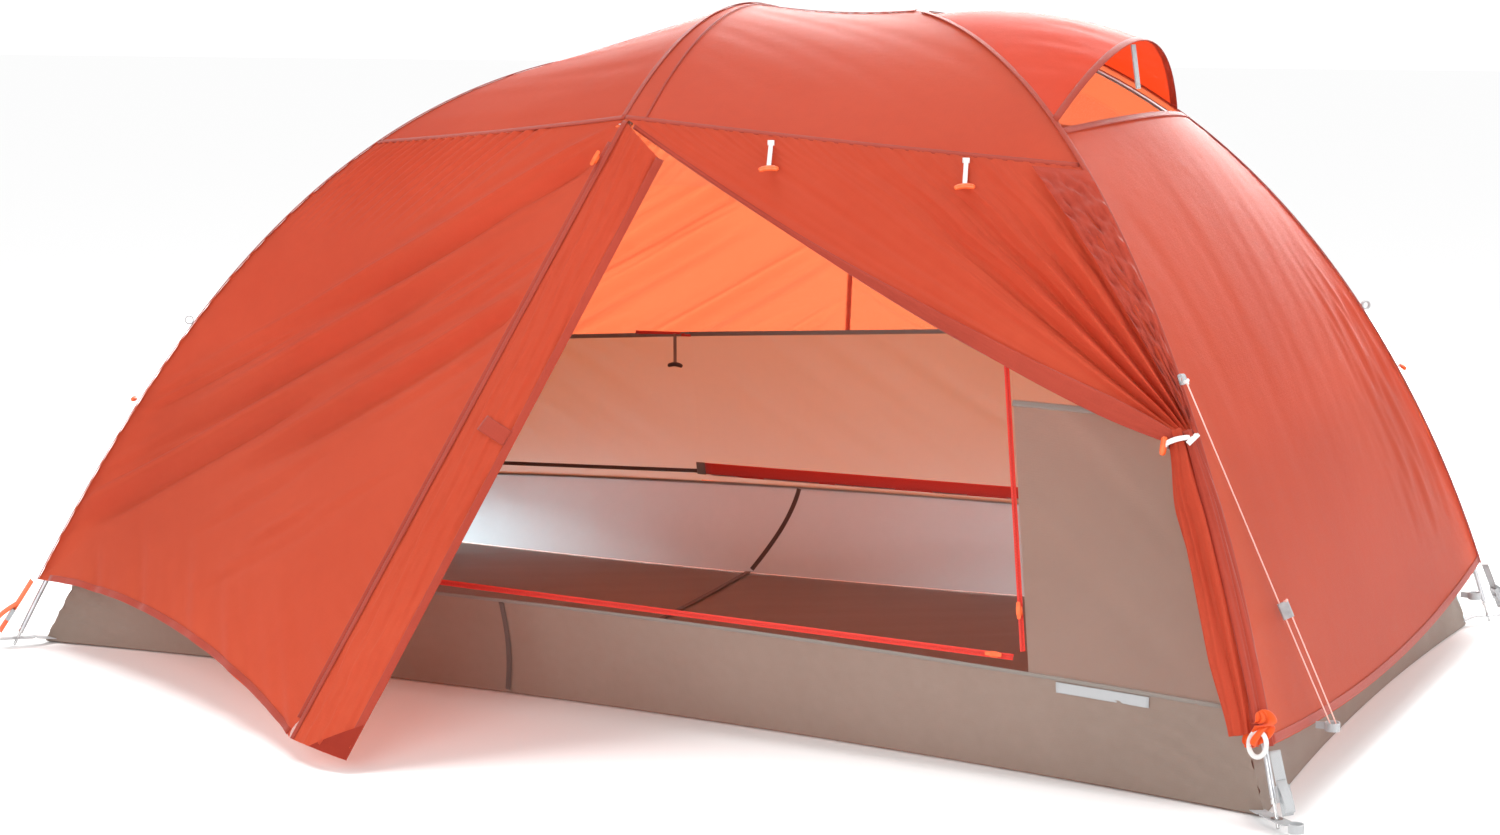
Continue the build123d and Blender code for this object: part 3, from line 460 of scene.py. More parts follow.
def vent_hood():
    left, right = (leg_between("head", side, 0.97, VENT_T) for side in (NEAR, FAR))
    lift = np.array(VENT_APEX) - (left(1.0) + right(1.0)) / 2
    return coons(segment(left(0.0), right(0.0)), bowed(left(1.0), right(1.0), lift), left, right)


def floor_corner(end, side):
    return np.array((FLOOR_CORNERS[end][0], FLOOR_CORNERS[end][1] * side, 0.0))


def long_edge(side):
    return bowed(floor_corner("foot", side), floor_corner("head", side), (0, -FLOOR_BOW * side, 0))


def short_edge(end):
    return bowed(
        floor_corner(end, NEAR), floor_corner(end, FAR), (-0.025 if end == "head" else 0.025, 0, 0)
    )


def tub_top(end, side):
    return leg(end, side, leg_at_height(end, side, TUB_CORNER_HEIGHT, CANOPY_INSET), CANOPY_INSET)


def tub_top_line(side):
    return bowed(tub_top("foot", side), tub_top("head", side), (0, 0, TUB_RISE))


def tub_end_line(end):
    return bowed(tub_top(end, NEAR), tub_top(end, FAR), (0, 0, 0.015))


def door_edge(end, side):
    low = tub_top_line(side)
    foot_x, head_x = low(0.0)[0], low(1.0)[0]
    x, plan = (DOOR_HEAD_X, DOOR_HEAD) if end == "head" else (DOOR_FOOT_X, DOOR_FOOT)
    bottom = low((x - foot_x) / (head_x - foot_x))
    return segment(bottom, np.array((plan[0], plan[1] * side, DOOR_TOP)))


def doorway(side):
    foot, head = door_edge("foot", side), door_edge("head", side)
    return lambda u, v: lerp(foot(v), head(v), u)


def canopy_leg(end, side):
    start = leg_at_height(end, side, TUB_CORNER_HEIGHT, CANOPY_INSET)
    return leg_between(end, side, start, ROOF_SEAM_T[end], CANOPY_INSET)


def panel_beside_door(side, end):
    door, outer = door_edge(end, side), canopy_leg(end, side)
    return coons(segment(door(0.0), outer(0.0)), segment(door(1.0), outer(1.0)), door, outer)


def lowered(surface):
    def under(u, v):
        p = surface(u, v)
        return p * np.array((1.0, 0.93, 1.0)) - np.array((0, 0, 0.052))

    return under


# ---------------------------------------------------------------- cloth relief
def waves(across, along, length, seed, drift=7.0):
    """Soft folds from -1 to 1: bumps across with that spacing, which wander slowly along."""
    rng = np.random.default_rng(seed)
    total, weight = 0.0, 0.0
    for rate in (1.0, 1.71, 2.63):
        phase, lag = rng.uniform(0, 2 * math.pi, 2)
        bend = 1.3 * np.sin(2 * math.pi * along / (length * drift) + lag)
        total = total + np.sin(2 * math.pi * rate * across / length + phase + bend) / rate
        weight += 1 / rate
    return total / weight


def fade(x, start, stop):
    """0 before start, 1 after stop, smooth between. Start may be the larger."""
    t = np.clip((np.asarray(x, float) - start) / (stop - start), 0, 1)
    return t * t * (3 - 2 * t)


def hump(x, middle, width):
    return np.exp(-(((x - middle) / width) ** 2))


def billow(u, v):
    """1 in a panel's middle, 0 at its edges."""
    return 16 * u * (1 - u) * v * (1 - v)


# ---------------------------------------------------------------- meshes
def outward_normals(points):
    du, dv = np.gradient(points, axis=0), np.gradient(points, axis=1)
    n = np.cross(du, dv)
    size = np.linalg.norm(n, axis=-1, keepdims=True)
    good = size[..., 0] > 1e-12
    n = n / np.maximum(size, 1e-12)
    middle = n[n.shape[0] // 2, n.shape[1] // 2]
    n[~good] = middle
    centre = points[points.shape[0] // 2, points.shape[1] // 2]
    return n if np.dot(middle, centre - MIDDLE) > 0 else -n


def link(name, mesh):
    thing = bpy.data.objects.new(name, mesh)
    bpy.context.collection.objects.link(thing)
    return thing


def lay_mesh(name, grids, materials, thickness=0.0, pick=None, weld=0.0):
    """Sheets of cloth in one mesh, from grids of points. pick gives a face's material from its middle."""
    verts, faces, uvs = [], [], []
    for points in grids:
        base, (nu, nv) = len(verts), points.shape[:2]
        verts.extend(points.reshape(-1, 3).tolist())
        run_u = np.concatenate(
            [np.zeros((1, nv)), np.cumsum(np.linalg.norm(np.diff(points, axis=0), axis=-1), 0)]
        )
        run_v = np.concatenate(
            [np.zeros((nu, 1)), np.cumsum(np.linalg.norm(np.diff(points, axis=1), axis=-1), 1)], 1
        )
        uvs.extend(np.stack([run_u, run_v], -1).reshape(-1, 2).tolist())
        for i in range(nu - 1):
            for j in range(nv - 1):
                a = base + i * nv + j
                faces.append((a, a + nv, a + nv + 1, a + 1))
    mesh = bpy.data.meshes.new(name)
    mesh.from_pydata(verts, [], faces)
    layer = mesh.uv_layers.new(name="cloth")
    index = np.zeros(len(mesh.loops), int)
    mesh.loops.foreach_get("vertex_index", index)
    layer.data.foreach_set("uv", np.array(uvs)[index].ravel())
    for material in materials:
        mesh.materials.append(material)
    if pick:
        for polygon in mesh.polygons:
            polygon.material_index = pick(polygon.center)
    if weld:
        shape = bmesh.new()
        shape.from_mesh(mesh)
        bmesh.ops.remove_doubles(shape, verts=shape.verts, dist=weld)
        bmesh.ops.recalc_face_normals(shape, faces=shape.faces)
        shape.to_mesh(mesh)
        shape.free()
    mesh.shade_smooth()
    made = link(name, mesh)
    if thickness:
        solidify = made.modifiers.new("thickness", "SOLIDIFY")
        solidify.thickness = thickness
        solidify.offset = 0.0
    return made


def grid(surface, nu, nv):
    u, v = np.meshgrid(np.linspace(0, 1, nu + 1), np.linspace(0, 1, nv + 1), indexing="ij")
    return u, v, surface(u, v)


def declare_sheet(piece, grids, held, rests_on):
    """Measure a cloth panel: how wide and long it is as its threads run, and its area. Nothing is kept."""
    widths, lengths, area = [], [], 0.0
    for points in grids:
        du, dv = np.diff(points, axis=0), np.diff(points, axis=1)
        widths.append(np.linalg.norm(du, axis=-1).sum(0).max())
        lengths.append(np.linalg.norm(dv, axis=-1).sum(1).max())
        area += np.linalg.norm(np.cross(du[:, :-1], dv[:-1]), axis=-1).sum()


def panel(name, surface, steps, relief=None, materials=(FLY,), body="tent", pick=None, lift=0.0, held=None):
    """One sheet: the surface, moved along its outward normal by relief(u, v, points) and by lift.
    held is how it is held and what it rests on, for a panel that is a sheet of its own."""
    u, v, points = grid(surface, *steps)
    normals = outward_normals(points)
    height = lift + (relief(u, v, points) if relief else 0.0)
    points = points + normals * (height[..., None] if np.ndim(height) else height)
    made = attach(lay_mesh(name, [points], materials, pick=pick), body)
    if held:
        declare_sheet(made, [points], *held)
    return made


def ribbon(name, path, normals, width, thickness, material, body="tent"):
    """A flat tape along a path of points. normals face away from what it lies on."""
    path, normals = np.asarray(path, float), np.asarray(normals, float)
    if normals.ndim == 1:
        normals = np.repeat(normals[None], len(path), 0)
    along = np.gradient(path, axis=0)
    along /= np.linalg.norm(along, axis=1, keepdims=True)
    across = np.cross(normals, along)
    across /= np.linalg.norm(across, axis=1, keepdims=True)
    up = np.cross(along, across)
    width = np.broadcast_to(width, len(path))[:, None]
    rows = [
        path + across * width * share + up * crown * thickness
        for share, crown in ((-0.5, 0.0), (-0.42, 0.5), (0.0, 0.62), (0.42, 0.5), (0.5, 0.0))
    ]
    made = lay_mesh(name, [np.stack(rows, 1)], (material,), thickness)
    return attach(made, body)


def surface_path(surface, us, vs, lift):
    """Points and normals along a line on a surface."""
    us, vs = np.broadcast_arrays(np.asarray(us, float), np.asarray(vs, float))
    step = 0.004
    lo_u, hi_u = np.clip(us - step, 0, 1), np.clip(us + step, 0, 1)
    lo_v, hi_v = np.clip(vs - step, 0, 1), np.clip(vs + step, 0, 1)
    n = np.cross(surface(hi_u, vs) - surface(lo_u, vs), surface(us, hi_v) - surface(us, lo_v))
    size = np.linalg.norm(n, axis=-1, keepdims=True)
    n = np.where(
        size > 1e-12, n / np.maximum(size, 1e-12), n[len(n) // 2] / max(size[len(n) // 2][0], 1e-12)
    )
    points = surface(us, vs)
    flip = -1 if np.dot(n[len(n) // 2], points[len(n) // 2] - MIDDLE) < 0 else 1
    return points + n * flip * lift, n * flip


def seam(name, surface, us, vs, width=0.009, lift=0.0012, material=None, body="tent", thickness=0.0008):
    path, normals = surface_path(surface, us, vs, lift)
    return ribbon(name, path, normals, width, thickness, material or FLY_SEAM_AND_SHADE, body)


def tube_mesh(name, path, radius, material, body="tent", ring=12, section=None):
    """A closed tube along a path. section(angle, place) gives two scales for its radius, one each way."""
    path = np.asarray(path, float)
    along = np.gradient(path, axis=0)
    along /= np.linalg.norm(along, axis=1, keepdims=True)
    helper = np.array((0.0, 0.0, 1.0)) if abs(along[0][2]) < 0.9 else np.array((1.0, 0.0, 0.0))
    x = np.cross(along, helper)
    x /= np.linalg.norm(x, axis=1, keepdims=True)
    y = np.cross(along, x)
    angles = np.linspace(0, 2 * math.pi, ring, endpoint=False)
    radius = np.broadcast_to(radius, len(path))
    verts, faces = [], []
    for i in range(len(path)):
        for angle in angles:
            rx, ry = section(angle, i / (len(path) - 1)) if section else (1.0, 1.0)
            verts.append(path[i] + radius[i] * (x[i] * math.cos(angle) * rx + y[i] * math.sin(angle) * ry))
    for i in range(len(path) - 1):
        for j in range(ring):
            a, b = i * ring + j, i * ring + (j + 1) % ring
            faces.append((a, b, b + ring, a + ring))
    faces.append(tuple(range(ring))[::-1])
    faces.append(tuple(range((len(path) - 1) * ring, len(path) * ring)))
    mesh = bpy.data.meshes.new(name)
    mesh.from_pydata([tuple(p) for p in verts], [], faces)
    layer = mesh.uv_layers.new(name="cloth")
    lengths = np.concatenate([[0], np.cumsum(np.linalg.norm(np.diff(path, axis=0), axis=1))])
    for loop, corner in enumerate(mesh.loops):
        i, j = divmod(corner.vertex_index, ring)
        layer.data[loop].uv = (lengths[i], j / ring * 2 * math.pi * float(radius[i]))
    mesh.materials.append(material)
    mesh.shade_smooth()
    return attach(link(name, mesh), body)


def rounded(radius, count, cap=0.25):
    """Radii along a tube that round off over its first and last cap share."""
    t = np.linspace(0, 1, count)
    edge = np.clip(np.minimum(t, 1 - t) / cap, 0, 1)
    return radius * np.sqrt(1 - (1 - edge) ** 2 * 0.9)


# ---------------------------------------------------------------- the guyline, before anything else
GUY_ROUTE = (
    (0.9406, -0.5462, 0.5781),
    (1.1430, -0.4884, 0.0960),
    (1.1485, -0.4863, 0.0896),
    (1.1525, -0.4841, 0.0896),
    (1.1525, -0.4839, 0.0960),
    (1.0796, -0.5047, 0.2696),
)
GUY_DIAMETER = 0.0022


def add_guyline():
    curve = bpy.data.curves.new("guyline_cord", "CURVE")
    curve.dimensions = "3D"
    spline = curve.splines.new("NURBS")
    spline.points.add(len(GUY_ROUTE) - 1)
    for point, place in zip(spline.points, GUY_ROUTE):
        point.co = (*place, 1)
    spline.order_u = 3
    spline.use_endpoint_u = True
    curve.resolution_u = 24
    curve.bevel_depth = GUY_DIAMETER / 2
    curve.bevel_resolution = 4
    curve.materials.append(CORD)
    cord = link("guyline_cord", curve)
    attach(cord, "tent")
    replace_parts(cord, "guyline")
    top_knot = knot("guyline_top_knot", np.array(GUY_ROUTE[0]), 0.0042, WHITE_TAPE)
    tail_knot = knot("guyline_tail_knot", np.array(GUY_ROUTE[-1]), 0.0034, CORD)
    length = measured(curve)


def measured(curve):
    """The length of a curve's own line."""
    copy = curve.copy()
    copy.bevel_depth = 0
    thing = link("measure", copy)
    mesh = bpy.data.meshes.new_from_object(thing)
    places = [v.co for v in mesh.vertices]
    length = sum((b - a).length for a, b in zip(places, places[1:]))
    bpy.data.objects.remove(thing)
    bpy.data.meshes.remove(mesh)
    return length


def knot(name, centre, radius, material):
    """A small overhand knot: one turn of cord round itself."""
    t = np.linspace(0, 2.6 * math.pi, 28)
    turn = np.stack(
        [np.cos(t) * radius * 0.55, np.sin(t) * radius * 0.55, (t / t[-1] - 0.5) * radius * 1.5], -1
    )
    return tube_mesh(name, centre + turn, rounded(radius * 0.52, 28, 0.12), material, ring=8)


# ---------------------------------------------------------------- the fly
def roof_relief(end):
    def relief(u, v, p):
        puckers = waves(p[..., 0], p[..., 1], 0.024, 11, 9) * 0.0006 * (
            fade(v, 0.9, 1.0) + fade(v, 0.1, 0.0)
        )
        sag = -0.003 * billow(u, v)
        streaks = waves(p[..., 1] + p[..., 0] * 0.4, p[..., 0], 0.11, 3 if end == "head" else 5) * 0.0007
        return sag + puckers + streaks * fade(billow(u, v), 0.0, 0.4)

    return relief


def add_roof():
    pieces = []
    for end in ("head", "foot"):
        for side in (NEAR, FAR):
            name = f"fly_roof_{end}_{SIDES[side]}"
            held = ("stretched", [f"leg_pole_{end}_{SIDES[side]}", "cross_pole"])
            pieces.append(panel(name, roof_patch(end, side), (70, 70), roof_relief(end), held=held))
    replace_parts(pieces[0], "fly_roof")
    line = np.linspace(0.0, 1.0, 60)
    for end in ("head", "foot"):
        for side in (NEAR, FAR):
            label = f"{end}_{SIDES[side]}"
            patch = roof_patch(end, side)
            pieces.append(seam(f"fly_roof_seam_{label}", patch, line * 0.992, 0.992))
        near = roof_patch(end, NEAR)
        pieces.append(seam(f"fly_ridge_seam_{end}", near, line, 0.006, 0.008))
    for side in (NEAR, FAR):
        patch = roof_patch("foot", side)
        pieces.append(seam(f"fly_cross_seam_{SIDES[side]}", patch, 0.008, line * 0.995, 0.011))
        patch = roof_patch("head", side)
        pieces.append(seam(f"fly_cross_band_{SIDES[side]}", patch, 0.045, line * 0.995, 0.003))


def leg_seam(end, side, start, stop):
    t = np.linspace(start, stop, 90)
    path = leg(end, side, t, -0.0012)
    out = leg(end, side, t, -0.02) - leg(end, side, t)
    return path, out / np.linalg.norm(out, axis=1, keepdims=True)


def add_leg_seams():
    for end in ("head", "foot"):
        for side in (NEAR, FAR):
            path, out = leg_seam(end, side, HEM_T[end], 0.985)
            made = ribbon(f"fly_leg_seam_{end}_{SIDES[side]}", path, out, 0.010, 0.0009, FLY_SEAM_AND_SHADE)


def end_relief(head):
    def relief(u, v, p):
        pull = waves(p[..., 1], p[..., 2], 0.16, 21) * 0.0006 * fade(v, 0.15, 0.5) * fade(v, 1.0, 0.7)
        corners = waves(p[..., 1] * 0.8 + p[..., 2], p[..., 1], 0.035, 4) * 0.0012
        near_corner = np.maximum(hump(u, 0, 0.12), hump(u, 1, 0.12)) * fade(v, 0.35, 0.05)
        edge = waves(p[..., 2], p[..., 1], 0.030, 9) * 0.0007 * (fade(u, 0.05, 0.0) + fade(u, 0.95, 1.0))
        creases = waves(u * 0.55, v, 0.042, 23) * 0.0026 * fade(u, 0.66, 0.86) * fade(v, 0.06, 0.2) * fade(
            v, 0.72, 0.5
        )
        return -0.006 * billow(u, v) + pull + corners * near_corner + edge + creases * head

    return relief


def add_end_panels():
    dip = (0.038, 0, 0.014)
    surfaces = {"head": end_panel("head", VENT_T - 0.012, dip), "foot": end_panel("foot", 0.985, (0, 0, 0))}
    line = np.linspace(0.004, 0.996, 70)
    for end, surface in surfaces.items():
        held = ("stretched", [f"leg_pole_{end}_near", f"leg_pole_{end}_far"])
        relief = end_relief(end == "head")
        made = panel(f"fly_{end}_end", part_of(surface, 0.002, 0.998, 0, 1), (120, 110), relief, held=held)
        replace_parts(made, f"fly_{end}_panel")
        for piece in (made, seam(f"fly_{end}_hem", surface, line, 0.008, 0.012, 0.001)):
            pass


def add_hood():
    def relief(u, v, p):
        pull = waves(p[..., 1], p[..., 0], 0.06, 31) * 0.0009 * fade(v, 0.35, 0.8)
        return pull - 0.002 * billow(u, v)

    # The hood uses its own copy of the fly nylon: painted light and painted shade.
    hood = panel("fly_hood", vent_hood(), (60, 50), relief, (HOOD_FLY_PAINTED_LIGHT,), held=("stretched", ["vent_strut"]))
    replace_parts(hood, "fly_vent_hood")
    line = np.linspace(0.0, 1.0, 60)
    hem = seam("fly_hood_hem", vent_hood(), line, 0.985, 0.012, 0.0010)
    left, right = leg("head", NEAR, VENT_T - 0.012), leg("head", FAR, VENT_T - 0.012)
    rim = bowed(left, right, (0.038, 0, 0.014))(line)
    up = np.array((0.55, 0, 0.83))
    collar = ribbon("fly_vent_collar", rim + up * 0.001, up, 0.012, 0.001, FLY_SEAM_AND_SHADE)


def side_grids(end, side, relief, gap):
    """The fixed shoulder and the door of one vestibule half as two grids that meet on the swing line."""
    top, corner = at(CROSS_TIP, side), leg(end, side, HEM_T[end])
    along = (corner - top) / np.linalg.norm(corner - top)
    out = np.cross(along, at(STAKE_POINT, side) - top)
    out /= np.linalg.norm(out)
    out = out if out[1] * side > 0 else -out
    down = np.cross(out, along)
    down = down if down[2] < 0 else -down
    grids = []
    for surface, steps, on_door in (
        (shoulder_patch(end, side), (150, 150), False), (door_patch(end, side, gap), (140, 150), True)
    ):
        u, v, points = grid(part_of(surface, 0, 1, 0.0, 0.985 if on_door else 1.0), *steps)
        offset = points - top
        s, q = offset @ along, offset @ down
        grids.append(points + out * relief(s, q, u, v, on_door)[..., None])
    return grids, out, along, down


FOLD_SLANT = 0.18  # how far a hung door's long folds lean from the line it swings on
MAIN_FOLDS = ((0.005, 0.33), (0.080, 0.66), (0.155, 0.99), (0.235, 0.55))  # each one's start and middle


def long_fold(s, q, start, middle, half, width, depth):
    """One long fold of a hung door: a ridge with a valley under it, fading out at both ends."""
    across = (q + FOLD_SLANT * s - start) / width
    reach = np.exp(-(((s - middle) / half) ** 4))
    return depth * reach * (hump(across, 0, 1) - 1.15 * hump(across, 1.7, 1.1))


def door_folds(seed):
    """The main folds of a door, then thinner ones strewn between them."""
    rng = np.random.default_rng(seed)
    folds = [(start, middle, 0.30, 0.018, 0.0125) for start, middle in MAIN_FOLDS]
    for _ in range(34):
        place = rng.uniform(-0.06, 0.50), rng.uniform(0.10, 1.10)
        folds.append(
            (*place, rng.uniform(0.07, 0.24), rng.uniform(0.005, 0.012), rng.uniform(0.0014, 0.0044))
        )
    return folds


def vestibule_relief(seed):
    folds = door_folds(seed)

    def relief(s, q, u, v, on_door):
        """Heights over the cloth: s runs from the top towards the corner, q down from the swing line."""
        reach = fade(s, 0.0, 0.12) * fade(s, 1.36, 1.15)
        base = sum(long_fold(s, q, *fold) for fold in folds) * reach
        if on_door:
            ripple = np.sin(2 * math.pi * s / 0.013) * 0.0004 * hump(q, 0.28, 0.10) * hump(s, 0.62, 0.16)
            hem = waves(s, q, 0.10, seed + 2) * 0.005 * fade(v, 0.20, 0.0) * fade(u, 0.0, 0.15)
            zip_pucker = waves(v, u, 0.045, seed + 3) * 0.0016 * fade(u, 0.86, 1.0)
            belly = -0.010 * billow(np.clip(u, 0, 1), np.clip(v, 0, 1))
            return base * fade(u, 1.0, 0.85) + ripple + hem + zip_pucker + belly
        run = u * 0.66
        pucker = np.sin(2 * math.pi * run / (0.0195 + 0.010 * u)) * 0.0030
        pucker = pucker * fade(v, 0.72, 0.98) * fade(u, 0.0, 0.06) * fade(u, 0.80, 0.55)
        arm = waves(v, u, 0.05, seed + 6) * 0.0008 * fade(u, 0.10, 0.0)
        return base * fade(u, 0.0, 0.22) + pucker + arm - 0.006 * billow(u, v)

    return relief


def add_vestibule(end, side, body, nodes, seed, gap):
    name = f"fly_side_{end}_{SIDES[side]}"
    grids, out, along, down = side_grids(end, side, vestibule_relief(seed), gap)
    made = lay_mesh(name, grids, (FLY,), weld=0.0004)
    top = at(CROSS_TIP, side)
    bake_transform(made)
    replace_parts(made, *nodes)
    declare_sheet(made, grids, "hung", [f"leg_pole_{end}_{SIDES[side]}"])
    hem_surface = door_patch(end, side, gap)
    line = np.linspace(0.03, 0.995, 70)
    path, normals = surface_path(hem_surface, line, 0.006, 0.0)
    offset = path - top
    lift = vestibule_relief(seed)(offset @ along, offset @ down, line, np.full_like(line, 0.006), True)
    hem = ribbon(
        f"{name}_hem", path + out * (lift + 0.0010)[:, None], normals, 0.011, 0.0008, FLY_SEAM_AND_SHADE, body
    )
    return along, down, out


def zip_run(name, start, stop, out, body, tape, coil, width=0.016):
    """A zip: its tape and the row of its coil."""
    count = 90
    path = lerp(start, stop, np.linspace(0, 1, count))
    base = ribbon(f"{name}_tape", path, out, width, 0.0006, tape, body)
    across = np.cross(out, stop - start)
    across /= np.linalg.norm(across)
    turns = int(np.linalg.norm(stop - start) / 0.0045)
    t = np.linspace(0, 1, turns * 4 + 1)
    swing = np.sin(t * turns * 2 * math.pi)[:, None] * across * 0.0016
    rise = (np.cos(t * turns * 2 * math.pi)[:, None] * 0.0007 + 0.0016) * out
    teeth = tube_mesh(f"{name}_coil", lerp(start, stop, t) + swing + rise, 0.0007, coil, body, ring=5)
    return base, teeth


def add_storm_strip():
    peg, top = at(STAKE_POINT, NEAR), at(CROSS_TIP, NEAR)
    free_low, free_high = peg + np.array((0.118, -0.030, -0.012)), top + np.array((0.078, -0.024, -0.062))

    def strip(u, v):
        inner, outer = lerp(peg, top, v), lerp(free_low, free_high, v)
        crown = np.array((0.0, -1.0, 0.35)) * (0.010 * np.sin(math.pi * u))[..., None]
        return inner + (outer - inner) * u[..., None] + crown

    def relief(u, v, p):
        folds = waves(v, u, 0.12, 41) * 0.0035 * fade(v, 0.45, 0.0)
        long_ones = waves(u * 0.14 + v * 0.05, v, 0.030, 42) * 0.0022
        return (folds + long_ones) * fade(u, 0.0, 0.3)

    made = panel(
        "fly_storm_strip", strip, (40, 170), relief, body="near_flap", held=("hung", ["near_flap"])
    )
    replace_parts(made, "near_storm_strip")
    line = np.linspace(0, 1, 150)
    seam("fly_storm_strip_hem", strip, 0.955, line, 0.013, 0.0016, FLY_SEAM_AND_SHADE, "near_flap")
    seam("fly_storm_strip_seam", strip, 0.05, line, 0.010, 0.0016, FLY_SEAM_AND_SHADE, "near_flap")
    tab = np.linspace(0.42, 0.90, 12)
    seam("fly_storm_strip_tab", strip, tab, 0.515, 0.026, 0.0022, FLY_SEAM_AND_SHADE, "near_flap")
    foot_patch = lambda u, v: strip(0.42 + 0.58 * u, 0.055 * v * u)
    # The patch at the strip's foot is darkened with that copy of the fly nylon: painted shade.
    panel("fly_storm_strip_foot", foot_patch, (14, 12), None, (FLY_TIP_PAINTED_SHADE,), "near_flap", lift=0.003)


def drape_surface():
    top, tie = at(CROSS_TIP, NEAR), leg("head", NEAR, TIE_T["head"])
    corner = roof_corner("head", NEAR)
    outward = np.array((-0.026, -0.018, 0.0))
    low_a, low_b = tie + outward, tie + outward * 0.15
    high = bowed(top + np.array((0.004, 0.0, 0.001)), corner + np.array((0, 0, 0.001)), (0, 0, -0.002))
    left = bowed(low_a, high(0.0), (0.0, -0.012, -0.022))
    right = leg_between("head", NEAR, TIE_T["head"], ROOF_SEAM_T["head"], -0.002)
    return coons(segment(low_a, low_b), high, left, right)


DRAPE_FOLDS = (
    (0.36, 0.050, 0.45), (0.47, 0.032, -0.75), (0.55, 0.030, 1.0), (0.625, 0.024, -1.0), (0.69, 0.024, 0.9)
)
DRAPE_FOLDS += ((0.75, 0.022, -1.0), (0.81, 0.020, 0.9), (0.87, 0.020, -0.9), (0.93, 0.020, 0.6))


def add_drape():
    surface = drape_surface()

    def relief(u, v, p):
        fan = u - 0.05 * np.sin(3.0 * v) * (1 - u)
        gather = fade(v, 0.0, 0.10) * (0.22 + 0.78 * fade(v, 0.95, 0.35)) * fade(v, 1.0, 0.86)
        deep = sum(share * hump(fan, middle, width) for middle, width, share in DRAPE_FOLDS)
        soft = waves(u + 0.12 * v, v, 0.16, 52) * 0.0014 * fade(v, 0.15, 0.5) * fade(v, 1.0, 0.8)
        tight = waves(u, v, 0.03, 53) * 0.0011 * fade(v, 0.80, 1.0)
        thin = waves(u + 0.06 * v, v, 0.035, 54) * 0.0016 * fade(u, 0.3, 0.6) * fade(v, 0.0, 0.2) * fade(
            v, 1.0, 0.8
        )
        return deep * 0.013 * gather + soft + tight + thin

    drape = panel("fly_drape", surface, (170, 130), relief, held=("gathered", ["leg_pole_head_near"]))
    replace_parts(drape, "fly_open_door_drape")

    def crumpled(u, v, p):
        broad = waves(v * 0.5 + 0.05 * u, u, 0.070, 56) * 0.0045
        narrow = waves(u * 0.2 + 0.1 * v, v, 0.045, 57) * 0.0025
        return (broad + narrow) * fade(v, 0.0, 0.08) * fade(v, 1.0, 0.92) + 0.007

    # A second, darker sheet along the drape's leg edge, in the seam nylon: a real fold of cloth, with
    # painted shade of the doubled band behind the drape.
    edge_strip = part_of(drape_surface(), 0.88, 1.0, 0.0, 0.97)
    crumple = panel(
        "fly_drape_edge", edge_strip, (30, 150), crumpled, (FLY_SEAM_AND_SHADE,), held=("gathered", ["fly_drape"])
    )
    t = np.linspace(0.0, 0.985, 140)
    edge, normals = surface_path(surface, 0.0, t, 0.0)
    radius = 0.0032 + 0.0090 * fade(t, 0.80, 0.10) * fade(t, -0.10, 0.12)

    def section(angle, place):
        fold = 1 + 0.18 * math.sin(3 * angle + 5 * place) + 0.08 * math.sin(7 * angle - 9 * place)
        return 0.62 * fold, 1.20 * fold

    # The rolled hem uses the darker seam nylon: its own doubled cloth, with painted shade of the folded
    # edge.
    roll = tube_mesh(
        "fly_drape_hem_roll", edge + np.array((0, 0, -0.004)), radius, FLY_SEAM_AND_SHADE, ring=28, section=section
    )


def crumple_section(seed, flatness, depth=0.22):
    """A gathered cloth's outline: pleats that wander along it."""
    rng = np.random.default_rng(seed)
    rates = [
        (n, rng.uniform(0, 6.3), rng.uniform(-5, 5), depth / (1 + i * 0.6))
        for i, n in enumerate((3, 5, 8, 13))
    ]

    def section(angle, place):
        pleat = 1 + sum(share * math.sin(n * angle + lag + drift * place) for n, lag, drift, share in rates)
        return flatness * pleat, pleat / flatness

    return section


def add_bundle():
    """The rest of the opened door, gathered down the leg below its tie."""
    t = np.linspace(TIE_T["head"] + 0.006, 0.082, 130)
    place = np.linspace(0, 1, len(t))
    swell = fade(place, 0.0, 0.28) * (1 - 0.30 * fade(place, 0.75, 1.0))
    away = leg("head", NEAR, t)
    main_path = away + np.array((-0.027, -0.017, -0.003)) * (0.75 + 0.25 * swell)[:, None]
    bundle = tube_mesh(
        "fly_bundle", main_path, 0.0105 + 0.0085 * swell, FLY, ring=64, section=crumple_section(5, 1.15)
    )
    strip_path = away + np.array((-0.006, -0.012, -0.002))
    strip = tube_mesh(
        "fly_bundle_strip",
        strip_path,
        0.0075 + 0.0050 * swell,
        FLY_SEAM_AND_SHADE,
        ring=48,
        section=crumple_section(9, 1.1),
    )
    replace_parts(bundle, "fly_open_door_roll")
    low = away[-1] + np.array((-0.010, -0.012, 0.0))
    t = np.linspace(0, 1, 50)
    curl = np.stack([0.007 * np.sin(5 * t), -0.006 * t, 0.030 - 0.050 * t], -1)
    # The bunch below the bundle uses the brighter copy of the fly nylon: painted glow of light through its
    # folds.
    bunch = tube_mesh(
        "fly_bundle_foot",
        low + curl,
        rounded(0.0120, 50, 0.3),
        FLY_PAINTED_GLOW,
        ring=56,
        section=crumple_section(12, 1.05, 0.34),
    )
    t = np.linspace(0, 2 * math.pi, 40)
    loop = low + np.stack(
        [0.004 + 0.012 * np.cos(t), -0.014 + 0.002 * np.sin(t), -0.012 + 0.017 * np.sin(t)], -1
    )
    tape = ribbon("fly_bundle_loop", loop, np.array((0.4, -0.9, 0.1)), 0.006, 0.0012, WHITE_TAPE)


# ---------------------------------------------------------------- the inner tent
OPAQUE_HEIGHT = {NEAR: 0.520, FAR: 0.455}


def opaque_top(side, x):
    """How high a wall's cloth goes before its netting. On the far side it climbs towards the head end."""
    return OPAQUE_HEIGHT[side] + (0.055 * (x + 0.6) / 0.9 if side == FAR else 0.0)


